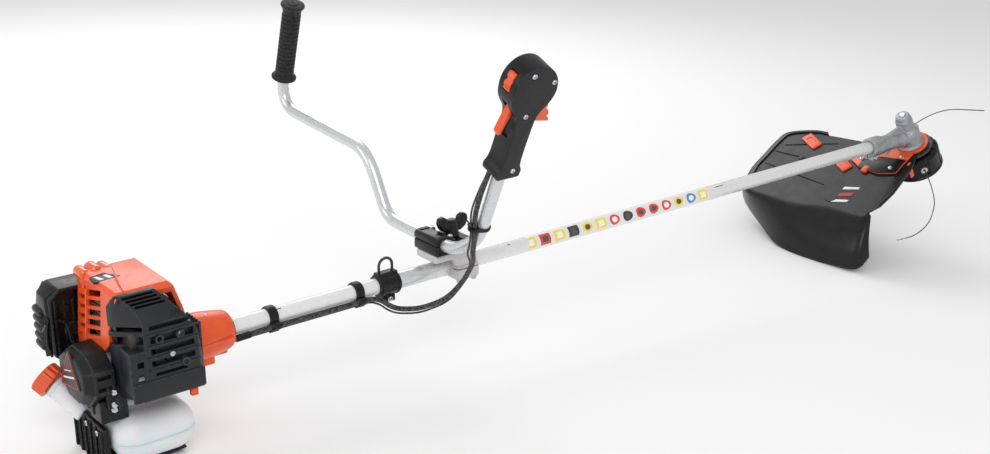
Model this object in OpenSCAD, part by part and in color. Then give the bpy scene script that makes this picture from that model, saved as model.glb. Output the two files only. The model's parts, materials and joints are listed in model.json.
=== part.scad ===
// String trimmer with a petrol engine, a straight shaft and a wide U handlebar.
// Frame: +X along the shaft from engine to cutting head, +Y to the operator's left, +Z up.
// The origin is the centre of the flat skid under the fuel tank. The machine rests on that
// skid and on the rim of its debris guard, so the shaft rises a little towards the head.
// Inside the file, "shaft frame" means: X along the shaft axis, 0 at the clutch housing's front.

/* [Overall] */
// Length of the drive tube
tube_len = 1480; // [1100:5:1800]
// Outer diameter of the drive tube
tube_d = 25.4; // [20:0.2:30]
// Wall of the drive tube
tube_wall = 1.6; // [1.2:0.1:2.5]
// Angle between the shaft and the cutting head's spindle
head_angle = 60; // [50:1:70]
// Height of the shaft above the skid's underside
foot_drop = 137.5; // [130:0.5:170]

/* [Engine] */
// Cylinder bore
bore_d = 38; // [30:0.5:44]
// Piston stroke
stroke = 28; // [22:1:30]
// Crankshaft journal diameter
journal_d = 12; // [10:0.5:14]
// Flywheel diameter
flywheel_d = 76; // [60:1:80]
// Clutch drum inner diameter
drum_d = 49; // [40:1:52]
// Wall of the plastic covers
cover_wall = 3; // [2:0.25:4]
// Fuel tank width across the machine
tank_w = 145; // [110:1:170]
// Fuel cap diameter
cap_d = 44; // [38:1:48]

/* [Handlebar] */
// Handlebar tube diameter
bar_d = 20; // [18:0.5:24]
// Handlebar tube wall
bar_wall = 2; // [1.5:0.1:3]
// Place of the handlebar along the shaft
bar_s = 358; // [300:1:600]
// Left grip length
grip_len = 145; // [110:1:160]
// Left grip diameter
grip_d = 33; // [28:1:38]
// Trigger travel in degrees
trigger_turn = 16; // [8:1:18]

/* [Cutting head] */
// Cutting head diameter
head_d = 105; // [90:1:120]
// Spindle diameter
spindle_d = 12; // [10:0.5:14]
// Travel of the bump knob
bump = 6; // [3:0.5:7]
// Trimmer line diameter
line_d = 2.4; // [2:0.1:3]
// Teeth on the pinion
pinion_teeth = 10; // [9:1:12]
// Teeth on the output gear
gear_teeth = 20; // [20:1:24]

/* [Guard] */
// Thickness of the debris guard
guard_t = 3; // [2:0.25:4]
// Rearward reach of the guard's rim
guard_reach = 318; // [270:1:340]
// Depth of the rim below the spindle crossing
guard_depth = 80; // [70:1:95]

/* [Hidden] */
$fn = 48;
fit = 0.05;                     // running fit, radial
gap = 0.4;                      // gap between separate moving pieces
tube_r = tube_d / 2;
tube_in = tube_r - tube_wall;
tube_back = -25;                // rear end of the tube in the clutch housing
tube_front = tube_back + tube_len;
gear_s = tube_front + 116;      // where the spindle axis crosses the shaft axis
foot_s = -160;                  // centre of the skid
jr = journal_d / 2;
crank_s = -150;                 // cylinder axis
crank_r = stroke / 2;
web_r = crank_r + 7;
piston_base = web_r + 5.5;
piston_h = 24;
piston_r = bore_d / 2 - fit;
deck_z = piston_base - 1;
head_z = piston_base + piston_h + stroke + 5;   // roof of the combustion chamber
fly_r = flywheel_d / 2;
fan_r = fly_r + 4;
fan_out = fan_r + cover_wall + 1;
drum_r = drum_d / 2;
drum_out = drum_r + 2.5;
clutch_in = drum_out + 3.5;
clutch_out = clutch_in + cover_wall + 0.5;
shaft_r = 3.5;                  // flexible drive shaft
spr = spindle_d / 2;
br = bar_d / 2;
knob_s = bar_s + br + 25;       // clamp knob axis
clamp_s = bar_s - br - 6;       // rear face of the bar clamp
boss_r = 8;                     // drum boss in its bearing
hr = head_d / 2;
low_s = gear_s - sin(head_angle) * guard_reach + cos(head_angle) * guard_depth;
low_z = -cos(head_angle) * guard_reach - sin(head_angle) * guard_depth;
rise = atan((-low_z - foot_drop) / (low_s - foot_s));
cone = gear_teeth * 0.9;        // outer cone distance of the bevel pair
pin_angle = atan(sin(180 - 60) / (gear_teeth / pinion_teeth - cos(60)));
lean = 23.8;                    // the throttle arm leans out
grip_lean = 18.4;               // the left grip leans in

orange = [0.93, 0.31, 0.12];
dark = [0.16, 0.16, 0.18];
black = [0.07, 0.07, 0.08];
metal = [0.72, 0.73, 0.75];

// bent tube of the handlebar: points across the machine and up, from right end to left end
arm_pts = [[-189, 255], [-117, 92], [-97, 74], [-54, 50], [54, 50], [128, 51],
           [171, 128], [201, 153], [396, 165], [436, 169], [455, 198], [404, 351]];
cable_pts = [[345.5, -158.4, 205.5], [342, -142, 168.4], [342, -127.5, 132],
             [343, -124.3, 108.5], [344, -122, 86], [348, -113, 66], [361.5, -97, 42],
             [366, -65, 0], [343, -53, -27], [302, -41, -37], [262, -29, -31],
             [240, -16, -10], [161, -16, -10], [111, -16, -10], [40, -16, -10],
             [20, -16, -11], [0.5, -16, -12]];
wire_pts = [[352, -152, 208.4], [346, -133.7, 172.1], [338, -121.5, 134.3],
            [337, -124.3, 108.5], [337, -121, 86], [341, -108, 63], [366, -84, 38],
            [373, -60, -4], [349, -49, -35], [304, -37, -46], [262, -24, -40],
            [240, -9, -18], [161, -9, -18], [111, -9, -18], [40, -9, -18],
            [20, -9, -18], [0.5, -8, -19]];
// the two free line ends: rearward, left and down from the spindle crossing
line_a = [[-27, 41.5, 55], [-35, 54, 55], [-60, 67, 58], [-92, 66, 62], [-132, 51, 62],
          [-159, 21, 60], [-176, -55, 58]];
line_b = [[27, -41.5, 55], [35, -54, 55], [62, -84, 60], [98, -116, 64], [149, -136, 66],
          [190, -130, 66], [214, -104, 66]];
// guard: crease where the flat deck turns down, and the rim below it
crease = [[28, 197, 20], [34, 232, 20], [58, 282, 20], [86, 291, 20], [140, 290, 20],
          [189, 286, 20], [245, 255, 20], [252, 178, 20], [251, 111, 20], [243, 74, 20],
          [234, 37, 20], [232, -5, 20], [228, -48, 20], [212, -51, 20]];
rim = [[30, 196, 38], [36, 230, 44], [60, 280, 56], [88, 291, 66], [145, 298, 74],
       [189, 302, guard_depth], [226, 296, guard_depth], [guard_reach - 40, 204, guard_depth],
       [guard_reach - 8, 139, guard_depth], [guard_reach, 90, guard_depth],
       [guard_reach, 39, guard_depth], [guard_reach - 4, -14, guard_depth],
       [guard_reach - 14, -64, guard_depth], [guard_reach - 48, -72, guard_depth - 6]];
deck_pts = [[28, 197], [34, 232], [58, 282], [86, 291], [140, 290], [189, 286], [245, 255],
            [252, 178], [251, 111], [243, 74], [234, 37], [232, -5], [228, -48], [212, -51],
            [180, -52], [138, -55], [70, -48], [24, -34], [30, -26], [34, 0], [30, 26],
            [24, 60]];

// ---- helpers ----
// the resting pose: the shaft frame tipped up onto the skid and the guard's rim
module rest() rotate([0, -rise, 0]) translate([-foot_s, 0, foot_drop]) children();
// a cylinder along the shaft, from s1 to s2
module rod(s1, s2, r, f = 48) translate([s1, 0, 0]) rotate([0, 90, 0])
    cylinder(h = s2 - s1, r = r, $fn = f);
module box(a, b) translate(a) cube(b - a);
// a side profile in X and Z, extruded across the machine
module slab(pts, y1, y2) translate([0, y2, 0]) rotate([90, 0, 0])
    linear_extrude(y2 - y1) polygon(pts);
// an outline in Y and Z, extruded along the shaft
module front(s1, s2) translate([s1, 0, 0]) rotate([90, 0, 90]) linear_extrude(s2 - s1) children();
module round_rect(a, b, r) {
    translate([a[0] + r, a[1]]) square([b[0] - a[0] - 2 * r, b[1] - a[1]]);
    translate([a[0], a[1] + r]) square([b[0] - a[0], b[1] - a[1] - 2 * r]);
    for (x = [a[0] + r, b[0] - r], y = [a[1] + r, b[1] - r]) translate([x, y]) circle(r, $fn = 32);
}
// the head frame: X rearward in the head's plane, Y left, Z down the spindle
module head_frame() translate([gear_s, 0, 0]) rotate([0, 90 + head_angle, 0]) children();
module throttle_frame() translate([bar_s, arm_pts[1][0], arm_pts[1][1]]) rotate([lean, 0, 0])
    children();
module grip_frame() translate([bar_s, 447, 222]) rotate([grip_lean, 0, 0]) children();
module neck_frame() translate([-208, 40, -72]) rotate([0, 0, 128.3]) rotate([0, 52.4, 0])
    children();

function unit(v) = v / norm(v);
// rounds each inner corner of a path with k points
function corner(a, b, c, t, k) = let (ta = min(t, norm(a - b) * 0.48), tc = min(t, norm(c - b) * 0.48),
    p = b + unit(a - b) * ta, q = b + unit(c - b) * tc)
    [for (i = [0:k]) let (u = i / k) (1 - u) * (1 - u) * p + 2 * u * (1 - u) * b + u * u * q];
function smooth(p, t, k) = [p[0], for (i = [1:len(p) - 2]) each corner(p[i - 1], p[i], p[i + 1], t, k),
    p[len(p) - 1]];
function tangent(p, i) = unit(p[min(i + 1, len(p) - 1)] - p[max(i - 1, 0)]);
// a frame that does not twist along the path
function side(p, i, prev) = let (t = tangent(p, i)) unit(prev - (prev * t) * t);
function sides(p, i = 0, prev = [0.3, 0.5, 0.8], acc = []) = i == len(p) ? acc :
    let (s = side(p, i, prev)) sides(p, i + 1, s, concat(acc, [s]));
module sweep(p, r, n = 8) {
    s = sides(p);
    pts = [for (i = [0:len(p) - 1]) let (t = tangent(p, i), a = s[i], b = cross(t, a))
        for (k = [0:n - 1]) p[i] + r * (cos(360 * k / n) * a + sin(360 * k / n) * b)];
    m = len(p);
    polyhedron(pts, concat([[for (k = [0:n - 1]) k]],
        [for (i = [0:m - 2], k = [0:n - 1]) let (j = (k + 1) % n)
            [i * n + k, (i + 1) * n + k, (i + 1) * n + j, i * n + j]],
        [[for (k = [n - 1:-1:0]) (m - 1) * n + k]]));
}
// a bevel tooth that points at the cone's apex, between two cone angles
module tooth(r1, r2, base, tip, wb, wt) {
    function q(r, a, w) = [r * sin(a), w * r / r2, r * cos(a)];
    polyhedron([q(r1, base, -wb), q(r1, base, wb), q(r1, tip, wt), q(r1, tip, -wt),
        q(r2, base, -wb), q(r2, base, wb), q(r2, tip, wt), q(r2, tip, -wt)],
        [[3, 2, 1, 0], [4, 5, 6, 7], [1, 5, 4, 0], [2, 6, 5, 1], [3, 7, 6, 2], [0, 4, 7, 3]]);
}

// ---- engine ----
module crankcase() color(metal) rest() difference() {
    union() {
        rod(-191.9, -119, 35);
        box([-177, -27, 0], [-123, 27, deck_z]);
        for (y = [-22, 22]) box([-170, y - 6, -44], [-130, y + 6, -20]);
    }
    rod(-169, -131, web_r + 3);
    box([-200, -50, deck_z], [-100, 50, deck_z + 40]);
    translate([crank_s, 0, 0]) cylinder(h = 60, r = bore_d / 2 + 0.5);
    rod(-200, -100, jr + fit);
    for (y = [-16, 16]) rod2(-136, y, 12, -118, 1.8);
}
// a short rod off the shaft axis
module rod2(s1, y, z, s2, r) translate([s1, y, z]) rotate([0, 90, 0])
    cylinder(h = s2 - s1, r = r, $fn = 24);

module cylinder_block() {
    difference() {
        union() {
            translate([crank_s, 0, deck_z]) cylinder(h = head_z + 8 - deck_z, r = bore_d / 2 + 4);
            translate([crank_s, 0, deck_z]) linear_extrude(4) square([52, 52], center = true);
            for (k = [0:6]) translate([crank_s, 0, deck_z + 9 + k * 8]) linear_extrude(2)
                square([58, 60], center = true);
            translate([crank_s, -30, 48]) cube([22, 16, 16], center = true);
            translate([crank_s, 31, 44]) cube([22, 18, 16], center = true);
        }
        translate([crank_s, 0, 0]) cylinder(h = head_z, r = bore_d / 2);
        translate([crank_s, -50, 48]) rotate([-90, 0, 0]) cylinder(h = 34, r = 5);
        translate([crank_s, 16, 44]) rotate([-90, 0, 0]) cylinder(h = 34, r = 5);
        translate([crank_s, 0, head_z - 1]) cylinder(h = 20, r = 5);
    }
}
module cylinder_node() color(metal) rest() cylinder_block();

module piston() color(metal) rest() translate([crank_s, 0, piston_base]) difference() {
    cylinder(h = piston_h, r = piston_r);
    translate([0, 0, -1]) cylinder(h = piston_h - 4, r = piston_r - 3);
}

module crankshaft() color(metal) rest() {
    rod(-205, -153, jr);
    rod(-147, -62, jr);
    rod(-163, -153, web_r);
    rod(-147, -137, web_r);
    translate([-153, 0, -crank_r]) rotate([0, 90, 0]) cylinder(h = 6, r = 5);
}

module flywheel() color(metal) rest() difference() {
    union() {
        rod(-104, -96, fly_r);
        rod(-112, -92, 13);
        for (k = [0:13]) rotate([k * 360 / 14, 0, 0]) box([-113, -1.2, 20], [-104, 1.2, fly_r - 0.5]);
    }
    rod(-120, -90, jr + 0.02);
    for (k = [0:3]) rotate([k * 90, 0, 0]) translate([-110, 0, 19])
        rotate([0, 90, 0]) cylinder(h = 30, r = 3);
}

module fan_housing() color(black) rest() difference() {
    rod(-118.5, -71, fan_out);
    rod(-115.5, -74, fan_r);
    rod(-119, -110, 20);
    rod(-80, -70, drum_out + 3.5);
    // air intake slots
    for (k = [0:5]) rotate([-60 + k * 24 - 90, 0, 0]) box([-112, -3, 20], [-84, 3, fan_out + 5]);
}

module octagon(r) circle(r / cos(22.5), $fn = 8);
module starter_cover() color(black) rest() difference() {
    union() {
        front(-226, -192) rotate(22.5) octagon(56.5);
        front(-232, -226) rotate(22.5) octagon(50);
        for (a = [45, 135, 225, 315]) rotate([a, 0, 0]) translate([-214, 0, 52])
            rotate([0, 90, 0]) cylinder(h = 22, r = 7);
    }
    difference() {
        front(-228, -188) rotate(22.5) octagon(46);
        rod(-229, -209, 5);
    }
    for (k = [-2:2]) translate([-228, -8, k * 9 - 2]) translate([30, -60, 0]) cube([10, 40, 4]);
    translate([-196, 40, -31]) rotate([-90, 0, 0]) cylinder(h = 30, r = 2.6, $fn = 24);
}

module starter_grip() color(black) rest() difference() {
    union() {
        translate([-206, 67, -31]) rotate([0, 90, 0]) cylinder(h = 28, r = 7);
        translate([-196, 59, -31]) rotate([-90, 0, 0]) cylinder(h = 6, r = 5);
        translate([-196, 43, -31]) rotate([-90, 0, 0]) cylinder(h = 20, r = 2);
    }
    translate([-196, 71, -31]) rotate([-90, 0, 0]) cylinder(h = 6, r = 3);
}

module cover_profile(o) polygon([[-191.5 + o, 27 - o * 3], [-191.5 + o, 70], [-188 + o, 118 - o],
    [-160, 122 - o], [-112, 124 - o], [-86 - o, 74], [-76 - o, 40], [-75 - o, 27 - o * 3]]);
module engine_cover() color(orange) rest() difference() {
    translate([0, 52, 0]) rotate([90, 0, 0]) linear_extrude(97) cover_profile(0);
    translate([0, 52 - cover_wall, 0]) rotate([90, 0, 0]) linear_extrude(97 - 2 * cover_wall)
        cover_profile(cover_wall);
    rod(-125, -60, fan_out + 0.4);
    // rear windows between the cross bars, left louvre and right side opening
    for (k = [0:4]) box([-210, 1, 44 + k * 14.5], [-184, 19, 52 + k * 14.5]);
    for (k = [0:4]) box([-210, 26, 40 + k * 15], [-186, 46, 47 + k * 15]);
    box([-180, -60, 20], [-90, -30, 90]);
    box([-178, 30, 20], [-130, 60, 62]);
    // slot in the top
    box([-184, 2, 100], [-160, 34, 130]);
}

module spark_plug() color(black) rest() translate([crank_s, 0, head_z]) {
    cylinder(h = 8, r = 4.9, $fn = 32);
    translate([0, 0, 8]) cylinder(h = 6, r = 9, $fn = 6);
    translate([0, 0, 14]) cylinder(h = 8, r = 8);
}

module muffler() color(metal) rest() difference() {
    union() {
        translate([0, -48, 0]) rotate([90, 0, 0]) linear_extrude(39)
            round_rect([-178, 8], [-104, 72], 8);
        translate([crank_s, -49, 48]) rotate([-90, 0, 0]) cylinder(h = 10.8, r = 8);
        translate([-130, -86, 30]) rotate([90, 0, 0]) cylinder(h = 8, r = 8);
    }
    translate([0, -50, 0]) rotate([90, 0, 0]) linear_extrude(35)
        round_rect([-176, 10], [-106, 70], 6);
    translate([crank_s, -52, 48]) rotate([-90, 0, 0]) cylinder(h = 20, r = 5);
    translate([-130, -80, 30]) rotate([90, 0, 0]) cylinder(h = 20, r = 6);
}

function shield(o) = [[-48, 90 - o], [-58, 114 - o], [-70, 112 - o], [-84, 82 - o], [-101 + o, 74 - o],
    [-101 + o, -20 + o], [-92, -26 + o], [-52, -26 + o]];
module muffler_cover() color(dark) rest() difference() {
    front(-182, -84) polygon(concat(shield(0), [[-47, -10], [-47, 60]]));
    front(-182 + cover_wall, -84 - cover_wall)
        polygon(concat(shield(cover_wall), [[-30, -20], [-30, 80]]));
    for (k = [0:4]) box([-170, -110, 62 - k * 13], [-95, -95, 68 - k * 13]);
    for (k = [0:2]) box([-190, -92, 62 - k * 13], [-175, -60, 68 - k * 13]);
    box([-160, -80, 90], [-100, -66, 130]);
    front(-200, -60) polygon([[-46, -30], [-46, 130], [-30, 130], [-30, -30]]);
}

module filter_cover() color(black) rest() difference() {
    union() {
        translate([0, 115, 0]) rotate([90, 0, 0]) linear_extrude(50)
            round_rect([-226, -12], [-152, 90], 12);
        for (z = [0, 22, 44, 66]) translate([-226, 90, z]) rotate([0, 0, 0])
            rotate([0, 90, 0]) cylinder(h = 6, r = 4, $fn = 24);
    }
    translate([0, 115 - cover_wall, 0]) rotate([90, 0, 0]) linear_extrude(60)
        round_rect([-226 + cover_wall, -12 + cover_wall], [-152 - cover_wall, 90 - cover_wall], 9);
}
module filter_element() color([0.85, 0.8, 0.6]) rest() difference() {
    translate([0, 108, 0]) rotate([90, 0, 0]) linear_extrude(26)
        round_rect([-216, 2], [-162, 78], 6);
    translate([-189, 70, 40]) rotate([-90, 0, 0]) cylinder(h = 30, r = 14);
}

module carburettor() color(metal) rest() difference() {
    union() {
        box([-168, 41, 30], [-132, 64.5, 58]);
        translate([-140, 59, 57]) cylinder(h = 1.2, r = 5);
    }
    translate([crank_s, 38, 44]) rotate([-90, 0, 0]) cylinder(h = 50, r = 6.5);
    translate([-158, 58, 29]) cylinder(h = 6.6, r = 5.2 + gap);
    translate([-140, 59, 50]) cylinder(h = 10, r = 2 + fit, $fn = 32);
}
module purge_bulb() color([0.85, 0.85, 0.8]) rest() translate([-158, 58, 22]) {
    cylinder(h = 10, r = 5.2);
}
module choke_lever() color(orange) rest() {
    translate([-140, 59, 58.6]) cylinder(h = 4, r = 4.5);
    box([-140, 56, 58.6], [-118, 62, 61.6]);
    translate([-140, 59, 51.5]) cylinder(h = 10, r = 2, $fn = 32);
}

module tank_shape(o) {
    translate([0, tank_w / 2 - 2.5 - o, 0]) rotate([90, 0, 0]) linear_extrude(tank_w - 2 * o)
        round_rect([-200 + o, -129 + o], [-76 - o, -60 - o], 26 - o);
}
module fuel_tank() color([0.9, 0.9, 0.88]) rest() difference() {
    union() {
        tank_shape(0);
        neck_frame() translate([0, 0, -12]) cylinder(h = 58, r = 17);
        neck_frame() translate([0, 0, 44]) cylinder(h = 10, r = 15);
        for (x = [-176, -124]) box([x - 8, -30, -62], [x + 8, 30, -47]);
    }
    tank_shape(2.5);
    neck_frame() translate([0, 0, -4]) cylinder(h = 70, r = 12.5);
}
module fuel_cap() color(orange) rest() neck_frame() difference() {
    union() {
        translate([0, 0, 46.4]) cylinder(h = 20, r = cap_d / 2);
        for (k = [0:23]) rotate(k * 15) translate([cap_d / 2 - 0.4, -1.2, 49]) cube([1.6, 2.4, 15]);
    }
    translate([0, 0, 46]) cylinder(h = 15, r = 15 + fit);
}

// skid under the tank with ribs up its rear face
module tank_guard() color(black) intersection() {
    rest() difference() {
        union() {
            slab([[-212, -74], [-203, -74], [-203, -132], [-108, -132], [-108, -128], [-100, -128],
                [-100, -150], [-212, -150]], -46, 58);
            for (y = [-41, -22, -4, 14, 32, 50]) box([-215, y - 2, -150], [-211, y + 2, -76]);
        }
        tank_shape(-gap);
        neck_frame() translate([0, 0, -30]) cylinder(h = 60, r = 17 + gap);
        for (y = [-31, 5]) translate([-220, y, -82]) rotate([0, 90, 0]) cylinder(h = 20, r = 2.2);
    }
    translate([-200, -200, 0]) cube([400, 400, 200]);
}

module clutch_housing() color(orange) rest() difference() {
    union() {
        rotate([0, 90, 0]) rotate_extrude() polygon([[0, -70], [clutch_out, -70], [clutch_out, -44],
            [clutch_out - 2, -30], [27, -4], [25, 0], [0, 0]]);
        translate([-70, 0, -26]) box([0, -15, -14], [40, 15, 6]);
        translate([-22, 0, -18]) box([-8, -12, -10], [14, 12, 6]);
    }
    rod(-71, -37, clutch_in);
    rod(-38, -29, 15);
    rod(-30, -20, 10);
    rod(tube_back, 10, tube_r);
    translate([-64, 0, -34]) rotate([0, 0, 0]) translate([0, -6, -10]) cube([26, 12, 9]);
    translate([-16, -30, -22]) rotate([-90, 0, 0]) cylinder(h = 50, r = 2.1, $fn = 24);
}

module bearings() color(metal) rest() {
    difference() { rod(-37, -29, 15 - 0.02); rod(-38, -28, boss_r + fit); }
    difference() {
        rod(gear_s - 44, gear_s - 33, 11 - 0.02);
        rod(gear_s - 45, gear_s - 32, 5 + fit);
    }
    head_frame() difference() {
        translate([0, 0, 12]) cylinder(h = 8, r = 13 - 0.02);
        translate([0, 0, 11]) cylinder(h = 10, r = spr + fit);
    }
    head_frame() difference() {
        translate([0, 0, -46]) cylinder(h = 8, r = 9 - 0.02);
        translate([0, 0, -47]) cylinder(h = 10, r = 4 + fit);
    }
}

module clutch_drum() color(metal) rest() difference() {
    union() { rod(-68, -38.5, drum_out); rod(-39, -28, boss_r); }
    rod(-69, -42, drum_r);
    rod(-50, -20, shaft_r + 0.02);
}
module clutch_shoes() color(metal) rest() difference() {
    union() {
        difference() {
            rod(-64, -45, drum_r - 1.5);
            rod(-65, -44, 11);
            box([-66, -40, -1.5], [-43, 40, 1.5]);
        }
        rod(-64, -45, jr + 3);
        rotate([40, 0, 0]) box([-62, -2, -14], [-47, 2, 14]);
    }
    rod(-66, -40, jr + 0.02);
}

module engine_screws() color(metal) rest() {
    // cover screws and badge-side screws, each with its head outside
    for (p = [[-130, 40], [-100, 12]]) translate([p[0], -101.2, p[1]]) rotate([90, 0, 0])
        cylinder(h = 2.5, r = 4, $fn = 24);
    for (y = [-31, 5]) {
        translate([-214.6, y, -82]) rotate([0, 90, 0]) cylinder(h = 2.4, r = 4, $fn = 24);
        translate([-212.3, y, -82]) rotate([0, 90, 0]) cylinder(h = 7, r = 2, $fn = 24);
    }
    for (a = [45, 135, 225, 315]) rotate([a, 0, 0]) translate([-228.4, 0, 53.2])
        rotate([0, 90, 0]) cylinder(h = 2.35, r = 2.8, $fn = 24);
    translate([-16, -23.6, -22]) rotate([-90, 0, 0]) cylinder(h = 34, r = 2, $fn = 24);
    translate([-16, -23.5, -22]) rotate([90, 0, 0]) cylinder(h = 2.5, r = 3.6, $fn = 24);
}

// ---- shaft ----
module drive_tube() color([0.93, 0.93, 0.93]) rest() difference() {
    rod(tube_back, tube_front, tube_r);
    rod(tube_back - 1, tube_front + 1, tube_in);
}
module shaft_bushes() color(black) rest() for (k = [1:5]) let (s = tube_back + tube_len * k / 6)
    difference() {
        rod(s - 8, s + 8, tube_in - 0.02);
        rod(s - 9, s + 9, shaft_r + fit);
    }
module drive_shaft() color(metal) rest() rod(-42, gear_s - 22, shaft_r);

module cable_clips() color(black) rest() for (s = [67, 213]) difference() {
    union() {
        rod(s - 7, s + 7, tube_r + 2.5);
        translate([s, -16, -10]) rotate([0, 90, 0]) cylinder(h = 14, r = 6, center = true);
        translate([s, -9, -18]) rotate([0, 90, 0]) cylinder(h = 14, r = 3.6, center = true);
        translate([s - 4, 0, -tube_r - 4]) cube([8, 6, 6]);
    }
    rod(s - 10, s + 10, tube_r + 0.02);
    translate([s, -16, -10]) rotate([0, 90, 0]) cylinder(h = 20, r = 4.1, center = true);
    translate([s, -9, -18]) rotate([0, 90, 0]) cylinder(h = 20, r = 1.7, center = true);
}

hang_s = 267;
eye_z = tube_r + 1.3;           // floor of the eye's two holes
hang_bolt = -tube_r - 8.3;
module hanger_clamp() color(black) rest() difference() {
    union() {
        rod(hang_s - 19, hang_s + 19, tube_r + 4.5);
        box([hang_s - 17, -7, tube_r - 2.7], [hang_s + 17, 7, eye_z + 6]);
        box([hang_s - 10, -9, -tube_r - 13.3], [hang_s + 10, 9, 0.7 - tube_r]);
    }
    rod(hang_s - 30, hang_s + 30, tube_r + 0.02);
    box([hang_s - 30, -1, -30], [hang_s + 30, 1, -10]);
    for (x = [-12, 12]) translate([hang_s + x, 0, eye_z]) cylinder(h = 10, r = 2.27, $fn = 32);
    translate([hang_s, -20, hang_bolt]) rotate([-90, 0, 0]) cylinder(h = 40, r = 2.6, $fn = 32);
}
module hanger_eye() color(metal) rest() translate([hang_s, 0, 0]) {
    for (x = [-12, 12]) translate([x, 0, eye_z + 0.3]) cylinder(h = 15.7, r = 2.25, $fn = 32);
    translate([0, 0, eye_z + 16]) rotate([90, 0, 0]) rotate_extrude(angle = 180) translate([12, 0])
        circle(2.25, $fn = 24);
}
module tube_bolts() color(metal) rest() {
    translate([hang_s, -9.3, hang_bolt]) rotate([90, 0, 0]) cylinder(h = 4, r = 4.5, $fn = 6);
    translate([hang_s, -12, hang_bolt]) rotate([-90, 0, 0]) cylinder(h = 24, r = 2.5, $fn = 32);
    translate([hang_s, 9.3, hang_bolt]) rotate([-90, 0, 0]) cylinder(h = 4, r = 4.5, $fn = 6);
    for (s = [knob_s - 1, knob_s + 27]) translate([s, 0, -tube_r - 7]) for (y = [-19, 19])
        translate([0, y, 0]) { cylinder(h = 25, r = 2.5, $fn = 32);
            translate([0, 0, -4]) cylinder(h = 4, r = 4.5, $fn = 32); }
    translate([tube_front - 8, -13, -19]) rotate([-90, 0, 0]) cylinder(h = 26, r = 2.5, $fn = 32);
    translate([tube_front - 8, -13, -19]) rotate([90, 0, 0]) cylinder(h = 4, r = 4.5, $fn = 32);
}

// ---- handlebar ----
module handle_bracket() color(black) rest() difference() {
    union() {
        rod(knob_s - 8, knob_s + 36, tube_r + 5);
        box([knob_s - 8, -25, -11], [knob_s + 36, 25, 6]);
        box([clamp_s, -26, 20], [knob_s + 22, 26, 32.6]);
        box([knob_s - 8, -20, 0], [knob_s + 22, 20, 22]);
    }
    rod(bar_s - 30, knob_s + 60, tube_r + 0.02);
    translate([knob_s, 0, 17]) cylinder(h = 30, r = 4 + fit);
    box([knob_s - 20, -40, -1], [knob_s + 50, 40, 1]);
    for (s = [knob_s - 1, knob_s + 27]) for (y = [-19, 19]) translate([s, y, -20])
        cylinder(h = 27, r = 2.6, $fn = 32);
}
module clamp_base() color(black) rest() difference() {
    slab([[clamp_s, 33], [knob_s + 22, 33], [knob_s + 22, 41], [knob_s - 21, 41],
        [knob_s - 21, 49.8], [clamp_s, 49.8]], -31, 31);
    translate([bar_s, -40, 50]) rotate([-90, 0, 0]) cylinder(h = 80, r = br + fit);
    translate([knob_s, 0, 20]) cylinder(h = 40, r = 4 + 0.3);
    for (y = [-24, 24]) translate([bar_s + br + 3.2, y, 38]) cylinder(h = 30, r = 1.55, $fn = 24);
}
module clamp_cap() color(black) rest() difference() {
    slab([[clamp_s, 50.2], [knob_s - 20, 50.2], [knob_s - 20, 41.4], [knob_s + 22, 41.4],
        [knob_s + 22, 49], [knob_s - 12, 49], [knob_s - 16, 56], [bar_s + 8, br + 53],
        [clamp_s + 4, br + 53], [clamp_s, br + 49]], -31, 31);
    translate([bar_s, -40, 50]) rotate([-90, 0, 0]) cylinder(h = 80, r = br + fit);
    translate([knob_s, 0, 20]) cylinder(h = 60, r = 4 + 0.3);
    for (y = [-24, 24]) translate([bar_s + br + 3.2, y, 40]) cylinder(h = 40, r = 1.6, $fn = 24);
}
module clamp_screws() color(metal) rest() for (y = [-24, 24])
    translate([bar_s + br + 3.2, y, 39]) cylinder(h = 24, r = 1.5, $fn = 24);
module wing_knob() color(black) rest() translate([knob_s, 0, 0]) {
    translate([0, 0, 49.4]) cylinder(h = 27, r = 9);
    translate([0, 0, 49.4]) cylinder(h = 6, r = 11);
    for (a = [0, 180]) rotate(a) translate([0, 3, 0]) rotate([90, 0, 0]) linear_extrude(6)
        polygon([[6, 54], [20, 62], [24, 84], [18, 89], [12, 80], [6, 76]]);
    translate([0, 0, 20]) cylinder(h = 30, r = 4);
}
module bar_path(r, grow) {
    p = smooth([for (q = arm_pts) [bar_s, q[0], q[1]]], 22, 5);
    n = len(p);
    sweep([for (i = [0:n - 1]) i == 0 ? p[0] + grow * unit(p[0] - p[1]) :
        i == n - 1 ? p[n - 1] + grow * unit(p[n - 1] - p[n - 2]) : p[i]], r, 20);
}
module handlebar() color(black) rest() difference() {
    bar_path(br, 0);
    bar_path(br - bar_wall, 1);
}
module left_grip() color(dark) rest() grip_frame() difference() {
    union() {
        cylinder(h = grip_len, r = grip_d / 2 - 1);
        cylinder(h = 5, r = grip_d / 2 + 5);
        translate([0, 0, grip_len - 6]) cylinder(h = 6, r = grip_d / 2 + 4);
        for (k = [0:7]) translate([0, 0, 12 + k * (grip_len - 30) / 7]) cylinder(h = 8, r = grip_d / 2);
    }
    translate([0, 0, -1]) cylinder(h = grip_len - 4, r = br + 2 * fit);
}

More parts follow.
